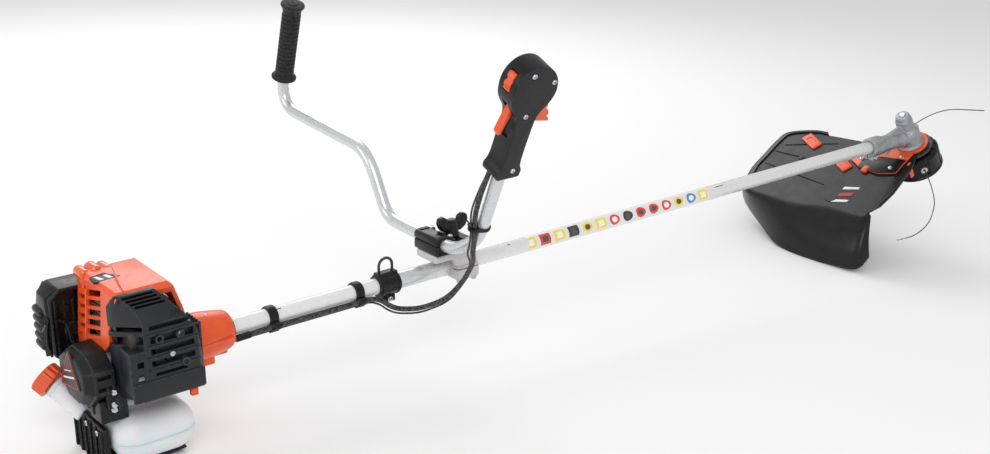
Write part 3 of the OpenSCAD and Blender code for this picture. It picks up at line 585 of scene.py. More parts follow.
class Graph:
    """The node graph of one material."""

    def __init__(self, name: str) -> None:
        """Starts a material with an empty Principled surface."""
        self.material = bpy.data.materials.new(name)
        self.material.use_nodes = True
        self.tree = self.material.node_tree
        self.surface = self.tree.nodes["Principled BSDF"]
        self._spot = None

    def node(self, kind: str, settings: dict | None = None, **inputs: Value
             ) -> bpy.types.Node:
        """Adds a node.

        Args:
            kind: The node's type name.
            settings: Its properties, by name.
            **inputs: Its inputs, by number as in i0, each a value or another node's socket.

        Returns:
            The new node.
        """
        made = self.tree.nodes.new(kind)
        for key, value in (settings or {}).items():
            setattr(made, key, value)
        for key, value in inputs.items():
            self.feed(made.inputs[int(key[1:])], value)
        return made

    def feed(self, socket: bpy.types.NodeSocket, value: Value) -> None:
        """Sets a socket.

        Args:
            socket: The input.
            value: Its value, or another node's socket that is linked to it.
        """
        if isinstance(value, bpy.types.NodeSocket):
            self.tree.links.new(value, socket)
        else:
            socket.default_value = value

    @property
    def spot(self) -> bpy.types.NodeSocket:
        """Object coordinates, turned back into shaft-frame millimetres."""
        if self._spot is None:
            place = self.node("ShaderNodeTexCoord").outputs["Object"]
            self._spot = self.node("ShaderNodeMapping", None, i0=place, i1=tuple(-FOOT),
                                   i2=(0, RISE, 0), i3=(1 / MM,) * 3).outputs[0]
        return self._spot

    def noise(self, size: float, detail: float = 3, stretch: Point = (1, 1, 1)
              ) -> bpy.types.NodeSocket:
        """Soft noise from 0 to 1.

        Args:
            size: Its features' size in millimetres.
            detail: Its finer layers.
            stretch: How much longer the features are along each axis.

        Returns:
            The socket that carries it.
        """
        place = self.node("ShaderNodeVectorMath", {"operation": "MULTIPLY"}, i0=self.spot,
                          i1=tuple(1 / (size * s) for s in stretch)).outputs[0]
        made = self.node("ShaderNodeTexNoise")
        self.feed(made.inputs["Vector"], place)
        self.feed(made.inputs["Scale"], 1.0)
        self.feed(made.inputs["Detail"], detail)
        return made.outputs[0]

    def speckle(self, size: float) -> bpy.types.NodeSocket:
        """Distance to the nearest of many scattered dots.

        Args:
            size: How far apart they are.

        Returns:
            The socket that carries it.
        """
        made = self.node("ShaderNodeTexVoronoi")
        self.feed(made.inputs["Vector"], self.spot)
        self.feed(made.inputs["Scale"], 1 / size)
        return made.outputs["Distance"]

    def math(self, operation: str, a: Value, b: Value = 0.0) -> bpy.types.NodeSocket:
        """One sum.

        Args:
            operation: Its name; with a plus at its end the result is held between 0 and 1.
            a: Its first value.
            b: Its second value.

        Returns:
            The socket that carries it.
        """
        kind = operation.rstrip("+")
        return self.node("ShaderNodeMath", {"operation": kind,
                                            "use_clamp": operation != kind},
                         i0=a, i1=b).outputs[0]

    def spread(self, value: Value, low: float, high: float, to_low: float = 0.0,
               to_high: float = 1.0) -> bpy.types.NodeSocket:
        """Maps a value's range onto another range, and holds it there.

        Args:
            value: The value.
            low: Where its range starts.
            high: Where its range ends.
            to_low: What low becomes.
            to_high: What high becomes.

        Returns:
            The socket that carries it.
        """
        return self.node("ShaderNodeMapRange", {"clamp": True}, i0=value, i1=low, i2=high,
                         i3=to_low, i4=to_high).outputs[0]

    def between(self, value: Value, low: float, high: float) -> bpy.types.NodeSocket:
        """1 where a value lies between two limits, 0 elsewhere."""
        return self.math("MULTIPLY", self.math("GREATER_THAN", value, low),
                         self.math("LESS_THAN", value, high))

    def mix(self, share: Value, first: Value, second: Value) -> bpy.types.NodeSocket:
        """A colour between two others.

        Args:
            share: How much of the second it has.
            first: One colour.
            second: The other.

        Returns:
            The socket that carries it.
        """
        made = self.node("ShaderNodeMix", {"data_type": "RGBA"})
        self.feed(made.inputs[0], share)
        for index, value in ((6, first), (7, second)):
            self.feed(made.inputs[index], (*value, 1) if isinstance(value, tuple) else value)
        return made.outputs[2]

    def along(self, direction: Point) -> bpy.types.NodeSocket:
        """How far a point lies along a direction of the shaft frame."""
        return self.node("ShaderNodeVectorMath", {"operation": "DOT_PRODUCT"}, i0=self.spot,
                         i1=tuple(direction)).outputs["Value"]

    def worn(self) -> bpy.types.NodeSocket:
        """1 on a piece's narrow edge strips, 0 on its broad faces."""
        return self.node("ShaderNodeAttribute", {"attribute_name": "worn"}).outputs["Fac"]


MADE: dict[str, bpy.types.Material] = {}        # the materials made so far, by finish


@dataclass(frozen=True)
class Finish:
    """What a surface is made of.

    Fields: the colour; roughness; metallic share; mottle, how far soft patches darken it;
    patch and grain, feature sizes in millimetres; bump, how deep the grain reads; wear,
    how much lighter rubbed edges are; the Principled surface's own weights; and stretch,
    how much longer the grain is along each axis.
    """

    name: str
    colour: Colour
    roughness: float = 0.5
    metallic: float = 0.0
    mottle: float = 0.12
    patch: float = 14.0
    grain: float = 0.7
    bump: float = 0.12
    wear: float = 0.18
    coat: float = 0.0
    sheen: float = 0.0
    milk: float = 0.0
    glass: float = 0.0
    specular: float = 0.5
    stretch: Colour = (1.0, 1.0, 1.0)

    def material(self) -> bpy.types.Material:
        """The finish as a material, made once.

        Returns:
            The material.
        """
        if self.name in MADE:
            return MADE[self.name]
        graph = Graph(f"{self.name}_finish")
        MADE[self.name] = graph.material
        surface = graph.surface.inputs
        graph.feed(surface["Base Color"], self.paint(graph))
        rough = graph.spread(graph.noise(self.patch * 0.5, 4), 0.3, 0.7,
                             self.roughness * LIGHTEST_ROUGH,
                             min(self.roughness * DARKEST_ROUGH, 1))
        graph.feed(surface["Roughness"], rough)
        graph.feed(surface["Normal"], self.relief(graph))
        for socket, value in (("Metallic", self.metallic), ("Coat Weight", self.coat),
                              ("Coat Roughness", 0.12), ("Sheen Weight", self.sheen),
                              ("Subsurface Weight", self.milk), ("IOR", 1.5),
                              ("Subsurface Scale", 0.02), ("Transmission Weight", self.glass),
                              ("Specular IOR Level", self.specular)):
            surface[socket].default_value = value
        return graph.material

    def paint(self, graph: Graph) -> bpy.types.NodeSocket:
        """The colour, with soft darker patches and rubbed edges.

        Args:
            graph: The material's graph.

        Returns:
            The socket that carries it.
        """
        dark = tuple(c * (1 - 2 * self.mottle) for c in self.colour)
        patches = graph.spread(graph.noise(self.patch, 5), 0.35, 0.65)
        base = graph.mix(patches, dark, self.colour)
        light = tuple(min(c + (1 - c) * RUB_LIGHTENS, 1) for c in self.colour)
        rubbed = graph.math("MULTIPLY", graph.worn(),
                            graph.spread(graph.noise(3.0, 4), 0.4, 0.62, 0, self.wear))
        return graph.mix(rubbed, base, light)

    def relief(self, graph: Graph) -> bpy.types.NodeSocket:
        """The fine grain as a bump.

        Args:
            graph: The material's graph.

        Returns:
            The socket that carries it.
        """
        made = graph.node("ShaderNodeBump")
        graph.feed(made.inputs["Strength"], self.bump)
        graph.feed(made.inputs["Distance"], self.grain * MM)
        graph.feed(made.inputs["Height"], graph.noise(self.grain, 2, self.stretch))
        return made.outputs[0]


@dataclass(frozen=True)
class Casting(Finish):
    """A die-cast metal with bright and dark specks."""

    speck: float = 1.6

    def paint(self, graph: Graph) -> bpy.types.NodeSocket:
        """Grey metal with specks of a lighter and a darker tone.

        Args:
            graph: The material's graph.

        Returns:
            The socket that carries it.
        """
        base = super().paint(graph)
        bright = graph.spread(graph.speckle(self.speck), 0.0, 0.35, 0.55, 0)
        pits = graph.spread(graph.noise(self.speck * 1.3, 2), 0.60, 0.72, 0, 0.28)
        lit = graph.mix(bright, base, (0.92, 0.93, 0.94))
        return graph.mix(pits, lit, tuple(c * 0.35 for c in self.colour))


VIEW_SIDE = (0.0, -0.899, 0.438)        # the tube's upper right side, where its marks are
VIEW_UP = (0.0, 0.438, 0.899)


@dataclass(frozen=True)
class PaintedTube(Finish):
    """White lacquer with short dark guide marks."""

    marks: tuple[tuple[float, float], ...] = ((64.0, 82.0), (296.0, 318.0), (498.0, 504.0),
                                              (982.0, 1004.0))

    def paint(self, graph: Graph) -> bpy.types.NodeSocket:
        """White, with a short dark line at each mark.

        Args:
            graph: The material's graph.

        Returns:
            The socket that carries it.
        """
        base, s = super().paint(graph), graph.along((1, 0, 0))
        high = graph.between(graph.along(VIEW_UP), 6.2, 7.6)
        facing = graph.math("MULTIPLY", high,
                            graph.math("GREATER_THAN", graph.along(VIEW_SIDE), 0))
        for start, end in self.marks:
            share = graph.math("MULTIPLY", facing, graph.between(s, start, end))
            base = graph.mix(share, base, (0.03, 0.03, 0.035))
        return base


@dataclass(frozen=True)
class LabelBand(Finish):
    """A clear label with a row of plain coloured discs and rings."""

    start: float = 560.0
    pitch: float = 31.0
    size: float = 0.36
    core: float = 0.55
    squares: float = 0.6
    blanks: float = 0.22
    tones: tuple[tuple[float, Colour], ...] = (
        (0.0, (0.95, 0.72, 0.05)), (0.28, (0.05, 0.25, 0.6)), (0.5, (0.75, 0.05, 0.04)),
        (0.66, (0.95, 0.72, 0.05)), (0.84, (0.03, 0.03, 0.035)))

    def paint(self, graph: Graph) -> bpy.types.NodeSocket:
        """White, with one plain shape in each cell of a row along the tube.

        Args:
            graph: The material's graph.

        Returns:
            The socket that carries it.
        """
        base = super().paint(graph)
        run = graph.math("DIVIDE", graph.math("SUBTRACT", graph.along((1, 0, 0)), self.start),
                         self.pitch)
        across = graph.math("DIVIDE", graph.along(VIEW_UP), self.pitch * 0.8)
        cell = graph.math("FLOOR", run)
        inside = graph.math("SUBTRACT", graph.math("SUBTRACT", run, cell), 0.5)
        pick = graph.node("ShaderNodeTexWhiteNoise", {"noise_dimensions": "1D"})
        graph.feed(pick.inputs["W"], cell)
        other = graph.node("ShaderNodeTexWhiteNoise", {"noise_dimensions": "1D"})
        graph.feed(other.inputs["W"], graph.math("ADD", cell, 40.5))
        disc_reach = graph.math("SQRT", graph.math("ADD", graph.math("POWER", inside, 2.0),
                                                   graph.math("POWER", across, 2.0)))
        box_reach = graph.math("MAXIMUM", graph.math("ABSOLUTE", inside),
                               graph.math("ABSOLUTE", across))
        square = graph.math("GREATER_THAN", other.outputs["Value"], self.squares)
        reach = graph.math("ADD", graph.math("MULTIPLY", square, box_reach),
                           graph.math("MULTIPLY", graph.math("SUBTRACT", 1.0, square),
                                      disc_reach))
        facing = graph.math("MULTIPLY", graph.math("GREATER_THAN", graph.along(VIEW_SIDE), 0),
                            graph.math("GREATER_THAN", other.outputs["Value"],
                                       self.blanks))
        ramp = graph.node("ShaderNodeValToRGB")
        ramp.color_ramp.interpolation = "CONSTANT"
        for index, (spot, tone) in enumerate(self.tones):
            stop = (ramp.color_ramp.elements[index] if index < 2
                    else ramp.color_ramp.elements.new(spot))
            stop.position, stop.color = spot, (*tone, 1)
        graph.feed(ramp.inputs[0], pick.outputs["Value"])
        disc = graph.math("MULTIPLY", graph.math("LESS_THAN", reach, self.size), facing)
        core = graph.math("MULTIPLY", graph.math("LESS_THAN", reach, self.size * self.core),
                          facing)
        outer = graph.mix(disc, base, ramp.outputs[0])
        return graph.mix(core, outer, graph.mix(graph.math("GREATER_THAN",
                         pick.outputs["Value"], 0.55), (0.93, 0.93, 0.92), (0.08, 0.08, 0.08)))


ORANGE = Finish("orange_plastic", (0.84, 0.092, 0.012), 0.34, mottle=0.05, bump=0.05,
                wear=0.08, coat=0.15)
GLOSSY_ORANGE = Finish("glossy_orange", (0.84, 0.095, 0.012), 0.2, mottle=0.04, bump=0.02,
                       coat=0.6, wear=0.05)
CAP_ORANGE = Finish("cap_orange", (0.80, 0.082, 0.011), 0.33, mottle=0.05, bump=0.06,
                    wear=0.05)
SLATE = Finish("slate_plastic", (0.015, 0.016, 0.020), 0.42, mottle=0.1, bump=0.16, grain=0.8,
               wear=0.05, specular=0.35)
CHARCOAL = Finish("charcoal_plastic", (0.009, 0.009, 0.011), 0.4, mottle=0.12, bump=0.14,
                  wear=0.04, specular=0.3)
BLACK = Finish("black_plastic", (0.004, 0.004, 0.005), 0.3, mottle=0.12, bump=0.08, wear=0.03,
               specular=0.3)
GUARD_BLACK = Finish("guard_plastic", (0.006, 0.006, 0.007), 0.3, mottle=0.15, patch=45,
                     bump=0.07, wear=0.03, specular=0.35)
RUBBER = Finish("grip_rubber", (0.006, 0.006, 0.007), 0.66, mottle=0.12, grain=0.5, bump=0.3,
                wear=0.04, sheen=0.08, specular=0.3)
MILK = Finish("milky_tank", (0.80, 0.81, 0.83), 0.38, mottle=0.02, patch=40, bump=0.03,
              milk=0.4, wear=0.0)
CLEAR = Finish("clear_rubber", (0.75, 0.72, 0.62), 0.25, mottle=0.03, glass=0.6, bump=0.02)
CAST = Casting("cast_alloy", (0.42, 0.43, 0.45), 0.42, metallic=0.75, bump=0.5, grain=1.2,
               wear=0.05)
SATIN = Finish("satin_grey", (0.62, 0.60, 0.60), 0.42, metallic=0.25, mottle=0.05, bump=0.06,
               wear=0.05)
STEEL = Finish("steel", (0.62, 0.63, 0.65), 0.28, metallic=1.0, bump=0.05, grain=0.3)
HOT_STEEL = Finish("hot_steel", (0.09, 0.078, 0.07), 0.42, metallic=0.7, mottle=0.25, bump=0.1)
DARK_STEEL = Finish("black_metal", (0.02, 0.02, 0.024), 0.33, metallic=0.4, bump=0.05)
ALUMINIUM = Finish("bar_aluminium", (0.70, 0.71, 0.73), 0.3, metallic=0.6, mottle=0.03,
                   bump=0.0, grain=3.0, wear=0.0)
WHITE_TUBE = PaintedTube("white_tube", (0.80, 0.80, 0.80), 0.25, mottle=0.02, bump=0.002,
                         grain=0.6, coat=0.4, wear=0.0, stretch=(30, 1, 1))
LABEL = LabelBand("tube_label", (0.82, 0.82, 0.81), 0.3, mottle=0.02, bump=0.01, coat=0.3,
                  wear=0.0, stretch=(30, 1, 1))
SHEATH = Finish("cable_sheath", (0.005, 0.005, 0.006), 0.42, mottle=0.1, grain=0.6, bump=0.15,
                specular=0.35)
NYLON = Finish("nylon_line", (0.006, 0.006, 0.007), 0.35, mottle=0.1, bump=0.1, grain=0.3)
FOAM = Finish("filter_foam", (0.70, 0.62, 0.38), 0.9, mottle=0.2, patch=2, grain=1.1, bump=0.9)
SILVER_MARK = Finish("silver_mark", (0.80, 0.80, 0.80), 0.35, mottle=0.05, bump=0.02)
RED_MARK = Finish("red_mark", (0.50, 0.015, 0.012), 0.4, mottle=0.08, bump=0.03)


def mark_worn(mesh: bpy.types.Mesh, width: float = 2.4 * MM) -> None:
    """Marks each narrow face that turns away from its neighbours, for edge wear.

    Args:
        mesh: The mesh that gets the mark.
        width: Faces narrower than this can wear.
    """
    work = bmesh.new()
    work.from_mesh(mesh)
    layer = work.faces.layers.float.new("worn")
    for face in work.faces:
        longest = max(edge.calc_length() for edge in face.edges)
        bent = any(len(e.link_faces) == 2 and e.calc_face_angle(0) > EDGE_TURN for e in face.edges)
        face[layer] = 1.0 if bent and longest and face.calc_area() / longest < width else 0.0
    work.to_mesh(mesh)
    work.free()


def piece(name: str, solid: Solid, finish: Finish, stands_for: Sequence[str] = (),
          body: str | None = None, smooth: float = 32
          ) -> bpy.types.Object:
    """Makes a finished piece of the model.

    Args:
        name: The piece's name.
        solid: Its shape, in shaft-frame millimetres.
        finish: What it is made of.
        stands_for: The CAD nodes that it is shown instead of.
        body: The body that it rides on; by default its first node's, or else the frame.
        smooth: Edges that turn by less than this many degrees are shaded smooth.

    Returns:
        The piece's object.
    """
    mesh = bpy.data.meshes.new(name)
    solid.mend().mesh.to_mesh(mesh)
    solid.mesh.free()
    mesh.transform(REST)
    mark_worn(mesh)
    mesh.shade_smooth()
    mesh.set_sharp_from_angle(angle=math.radians(smooth))
    thing = bpy.data.objects.new(name, mesh)
    bpy.context.scene.collection.objects.link(thing)
    mesh.materials.append(finish.material())
    if body != BENDS:
        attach(thing, body or (BODY_OF[stands_for[0]] if stands_for else "frame"))
    if stands_for:
        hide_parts(*stands_for)
    log.info("%s: %d faces, %s", name, len(mesh.polygons), finish.name)
    return thing


@dataclass
class EngineCover:
    """The orange shroud over cylinder and fan, with its rear windows and louvres."""

    wall: float = 3.0
    window_low: float = 35.0
    window_pitch: float = 13.6
    window_height: float = 8.8
    windows: int = 5
    lean: float = 0.27              # the windows rise towards the right

    def shell(self) -> Solid:
        """The shroud before its openings.

        Returns:
            The hollow shroud.
        """
        across = Solid.prism([(60, 12), (58, 104), (50, 117), (-57, 118.5), (-66, 113),
                              (-47, 76), (-43, 44), (-25, 26), (-14, 26)],
                             Plane.FRONT, -200, -60)
        along = Solid.prism([(-192.5, -10), (-192.5, 30), (-184.5, 112), (-180, 119),
                             (-150, 123), (-120, 124.5), (-106, 116), (-86, 74), (-77, 42),
                             (-75, -10)], Plane.SIDE, -80, 70)
        outer = across.meet(along)
        inner = outer.shrunk(self.wall, 8)
        return outer.bevel(3.0, 3, 25).cut(inner)

    def openings(self) -> list[Solid]:
        """The rear windows between their cross bars.

        Returns:
            The shapes to cut away.
        """
        out = []
        for k in range(self.windows):
            low = self.window_low + k * self.window_pitch
            rise = self.lean * 44
            out.append(Solid.prism([(26, low), (-18, low + rise), (-18, low + rise
                       + self.window_height), (26, low + self.window_height)],
                       Plane.FRONT, -205, -176))
        return out

    def louvres(self) -> list[Solid]:
        """Shallow slots across the left part of the rear face.

        Returns:
            The shapes to cut away.
        """
        out = []
        for k in range(6):
            low = 24 + k * self.window_pitch
            out.append(Solid.prism([(54, low), (31, low + 4), (31, low + 10), (54, low + 6)],
                                   Plane.FRONT, -205, -187.2 + k * 1.1))
        return out

    def build(self) -> None:
        """Makes the shroud with a ring round its screw hole, its lobes, its top panel and marks, and its left
        grille.
        """
        cover = self.shell().cut(*self.openings()).cut(*self.louvres())
        cover.cut(Solid.prism([(-186, 17), (-189, -7), (-149, -3), (-163, 23)], Plane.TOP,
                              116.4, 140))
        cover.cut(Solid.rod((-130, 0, 0), (-60, 0, 0), 50),
                  Solid.box((-180, 48, 16), (-130, 70, 62)))
        cover.cut(*[Solid.box((-118 + 5 * k, -24, 104 - 8.4 * k), (-70, 24, 108.5 - 8.4 * k))
                    for k in range(4)])
        cover.cut(Solid.rod((-200, 37, 32), (-186, 37, 32), 3.2, steps=24))
        cover.add(Solid.lathe([(0, 3.2), (0, 5.4), (2.2, 5.0), (2.2, 3.2)], (-193.4, 37, 32),
                              (1, 0, 0), 28, closed=True))
        cover.add(Solid.tube([(-194, 28.6, 22), (-192.6, 28.6, 34), (-186.5, 28.6, 98)], 1.5, 8))
        cover.add(Solid.tube([(-170, -58, 119), (-164, -30, 121.6), (-150, 24, 123.6)], 1.0, 8))
        piece("engine_shroud", cover, ORANGE, ("engine_cover",))
        panel = Solid.prism([(-185, 16), (-188, -6), (-150, -2), (-163, 22)], Plane.TOP,
                            115.4, 117.9).bevel(0.4, 2)
        piece("top_panel", panel, BLACK)
        bars = [Solid.prism([(-181 + 13 * k, 12), (-176 + 13 * k, 12), (-172 + 13 * k, -2),
                             (-178 + 13 * k, -2)], Plane.TOP, 117.8, 118.3) for k in range(2)]
        piece("top_marks", Solid().add(*bars), SILVER_MARK)
        lobes = Solid()
        for s, radius, top in ((-181, 8, 112), (-165, 9.5, 114), (-150, 9, 111)):
            lobes.add(Solid.lathe([(0, 0), (0.4, radius * 0.6), (3, radius * 0.93), (6, radius),
                                   (24, radius), (27, radius * 0.9), (29, radius * 0.55),
                                   (29.4, 0)], (s, 38, top - radius + 8), (0, 1, 0), 32))
        lobes.add(Solid.box((-186, 40, 92), (-143, 62, 108)).bevel(3))
        piece("intake_lobes", lobes, GLOSSY_ORANGE)
        side = Solid.box((-184, 54, 62), (-96, 57.5, 100)).bevel(1.6)
        side.cut(*[Solid.box((-174 + 13 * k, 50, 68), (-168 + 13 * k, 62, 94))
                   for k in range(6)])
        piece("left_grille", side, ORANGE)


@dataclass
class MufflerCover:
    """The dark guard over the muffler: louvred hood, slatted side and lower band."""

    wall: float = 3.2
    gaps: tuple[tuple[float, float], ...] = ((74.8, 81.2), (56, 66), (41, 48.6), (24, 32))
    bosses: tuple[tuple[float, float], ...] = ((-146, 61), (-117, 61), (-112, 20))

    def shell(self) -> Solid:
        """The cover before its slots.

        Returns:
            The hollow cover.
        """
        plan = Solid.prism([(-190, -44), (-188, -56), (-166, -99), (-160, -101), (-92, -101),
                            (-84, -94), (-84, -44)], Plane.TOP, -40, 130)
        front = Solid.prism([(-43, 97), (-62, 117.5), (-69, 117), (-88, 101), (-101, 83),
                             (-101, -19), (-93, -27), (-43, -27)], Plane.FRONT, -200, -60)
        side = Solid.prism([(-195, -40), (-195, 118), (-134, 118.4), (-105, 84), (-92, 60),
                            (-84, 12), (-84, -40)], Plane.SIDE, -120, -30)
        outer = plan.meet(front, side)
        inner = outer.shrunk(self.wall).move(0, 6, 0)
        block = Solid.box((-188, -101, -12), (-162, -68, 49)).bevel(2.5)
        hole = Solid.box((-185, -98, -9), (-150, -60, 46))
        return outer.bevel(2.4, 3, 22).fuse(block).cut(inner).cut(hole)

    def side_gaps(self) -> list[Solid]:
        """Long gaps along the side, with a short one under them.

        Returns:
            The shapes to cut away.
        """
        out = [Solid.box((-158, -110, low), (-98, -94, high)) for low, high in self.gaps]
        out.append(Solid.box((-154, -110, 10), (-110, -94, 14.6)))
        return out

    def rear_gaps(self) -> list[Solid]:
        """Two sloping gaps on the rear corner.

        Returns:
            The shapes to cut away.
        """
        corners = ((-200, -50, -10), (-186, -42, -10), (-172, -104, 0), (-158, -90, 0))
        return [Solid.hull([(s, y, z + drop) for s, y, drop in corners for z in (low, high)])
                for low, high in ((74.5, 81), (57, 67.5))]

    def build(self) -> None:
        """Makes the cover, its bosses, the small parts that show through it, and black sheets of painted shade in
        the gap beside the shroud.
        """
        cover = self.shell().cut(*self.side_gaps()).cut(*self.rear_gaps())
        slots = []
        for k in range(4):
            share = 0.17 + k * 0.22
            y, z = -69 - 19 * share, 117 - 16 * share
            start, end = -182 + 17 * share, -139 + 15 * share
            slots.append(Solid.box((start, y - 1.7, z - 9), (end, y + 1.7, z + 9))
                         .turn(40, "X", (0, y, z)))
        cover.cut(*slots)
        cover.cut(*[Solid.box((-100, -92 + 12 * k, low), (-70, -85 + 12 * k, high))
                    for low, high in self.gaps[1:] for k in range(3)])
        cover.cut(Solid.box((-178, -110, 27), (-169, -94, 35)),
                  Solid.prism([(-179, 8), (-168, 8), (-171, 17), (-176, 17)], Plane.SIDE,
                              -110, -94))
        for s, z in self.bosses:
            cover.add(Solid.lathe([(0, 3.3), (0, 5.9), (1, 6.3), (12, 6.3), (12, 3.3)],
                                  (s, -103.2, z), (0, 1, 0), 28, closed=True))
        for z in (69, 52.5, 36.5, 19):
            cover.add(Solid.tube([(-162, -101.3, z), (-97, -101.3, z), (-90, -100, z - 0.5)],
                                 1.3, 8))
        cover.add(Solid.box((-187, -103, -21), (-86, -98, 6)).bevel(1.6))
        cover.add(*[Solid.box((-86, -92 + 7 * k, -8), (-82.6, -89 + 7 * k, 66)).bevel(0.8, 2)
                    for k in range(6)])
        piece("muffler_guard", cover, SLATE, ("muffler_cover",))
        bits = Solid().add(Solid.box((-142, -92, 74), (-122, -88, 81)).bevel(0.8, 2),
                           Solid.box((-150, -92, 42), (-126, -88, 48)).bevel(0.8, 2),
                           Solid.box((-138, -93, 25), (-120, -89, 31)).bevel(0.8, 2),
                           Solid.lathe([(0, 0), (0, 4), (3, 4), (3, 0)], (-117, -96, 61),
                                       (0, -1, 0), 6),
                           Solid.lathe([(0, 0), (0, 4), (3, 4), (3, 0)], (-112, -96, 20),
                                       (0, -1, 0), 6))
        piece("muffler_brackets", bits, STEEL)
        red = Solid().add(Solid.box((-118, -92, 73), (-104, -89, 82)).bevel(0.8, 2),
                          Solid.box((-120, -92, 41), (-106, -89, 49)).bevel(0.8, 2))
        piece("gasket_tabs", red, RED_MARK)
        tab = Solid.box((-106, -98, -35), (-96, -90, -24)).bevel(1.2)
        piece("under_tab", tab, CAP_ORANGE)
        # A thin black strip along the shroud's right edge and a small black block behind it: painted shade in the
        # gap between shroud and muffler cover.
        shade = Solid.prism([(-67.5, 112), (-48.6, 76), (-44.6, 44), (-40, 20), (-42, 20),
                             (-46.6, 44), (-50.6, 76), (-69.5, 112)], Plane.FRONT, -183, -142)
        shade.add(Solid.box((-186, -60, 50), (-183.6, -44, 80)).bevel(0.6, 2))
        piece("gap_shade_sheet", shade, BLACK)
        chevron = [Solid.prism([(-126 + 5 * k, 86), (-122 + 5 * k, 94), (-121 + 5 * k, 94),
                                (-124.6 + 5 * k, 86)], Plane.SIDE, -1, 0)
                   .turn(-36, "X", (0, 0, 86)).move(0, -98.2, 0.6) for k in range(3)]
        piece("hood_ribs", Solid().add(*chevron), BLACK)


@dataclass
class FilterCover:
    """The black air-filter cover on the engine's left side."""

    ribs: int = 5
    rib_pitch: float = 12.4
    slots: int = 5

    def build(self) -> None:
        """Makes the cover with its faceted upper panel and ribbed lower part."""
        body = Solid.prism([(-153, -8), (-153, 86), (-159, 91), (-212, 91.5), (-226, 78),
                            (-226, -3), (-217, -12), (-160, -12)], Plane.SIDE, 64, 112)
        body.bevel(3, 3, 25)
        inner = Solid.prism([(-156, -5), (-156, 84), (-210, 88), (-223, 76), (-223, -1),
                             (-215, -9)], Plane.SIDE, 50, 108)
        body.cut(inner)
        panel = Solid.hull([(-229.4, 70, 54), (-229.4, 108, 58), (-229, 100, 80),
                            (-229, 74, 80), (-222, 66, 50), (-222, 112, 56), (-216, 108, 93),
                            (-212, 68, 93)]).bevel(1.5, 3, 20)
        body.add(panel)
        for k in range(self.ribs):
            z = 4 + self.rib_pitch * k
            body.add(Solid.lathe([(0, 0), (0.6, 3.4), (3, 5.6), (6, 6.3), (25, 6.3),
                                  (30, 5.4), (32.4, 3), (33, 0)],
                                 (-227.5, 84, z), (0, 1, 0), 24))
        for k in range(4):
            y = 69 + 6.5 * k
            body.add(Solid.tube(spline([(-227, y, 52), (-229.8, y + 2, 36),
                                        (-229.8, y + 6, 14), (-226.5, y + 4, -6)], 5), 1.9, 10))
        body.add(Solid.tube([(-229.5, 70, 44), (-230.4, 84, 30), (-229.5, 100, 24)], 2.4, 10))
        body.add(Solid.box((-226, 96, -15), (-219, 101, -8)).bevel(1.2, 2))
        side = Solid.prism([(-163, 2), (-163, 78), (-206, 80), (-216, 68), (-216, 8),
                            (-208, 0)], Plane.SIDE, 110, 115).bevel(1.8, 3, 25)
        side.cut(*[Solid.box((-208, 112.8, 12 + 11 * k), (-171, 120, 17 + 11 * k))
                   for k in range(self.slots)])
        body.add(side)
        back = Solid.prism([(-157, -4), (-157, 83), (-209, 87), (-222, 75), (-222, 0),
                            (-214, -8)], Plane.SIDE, 66.2, 69.4)
        back.add(*[Solid.box((-220 + 12.5 * k, 64.6, -2), (-216 + 12.5 * k, 67, 78 - 2 * k))
                   .bevel(0.9, 2) for k in range(5)],
                 Solid.lathe([(0, 0), (0, 11), (2, 12.4), (5, 12.4), (5, 0)], (-196, 62, 30),
                             (0, 1, 0), 36),
                 Solid.lathe([(0, 0), (0, 6), (2, 7), (5, 7), (5, 0)], (-206, 62, 62),
                             (0, 1, 0), 28),
                 Solid.tube(spline([(-216, 63.6, 50), (-205, 61.4, 40), (-200, 61.4, 12),
                                    (-188, 63, -4)], 5), 2.4, 10))
        body.add(back)
        piece("filter_housing", body, BLACK, ("filter_cover",))
        knob = Solid.prism([(7.6 * math.cos(a) * (1 + 0.12 * (k % 2)) - 190,
                             7.6 * math.sin(a) * (1 + 0.12 * (k % 2)) + 40)
                            for k, a in ((k, math.tau * k / 24) for k in range(24))],
                           Plane.SIDE, 113, 119).bevel(0.8, 2, 40)
        piece("filter_knob", knob, CHARCOAL)


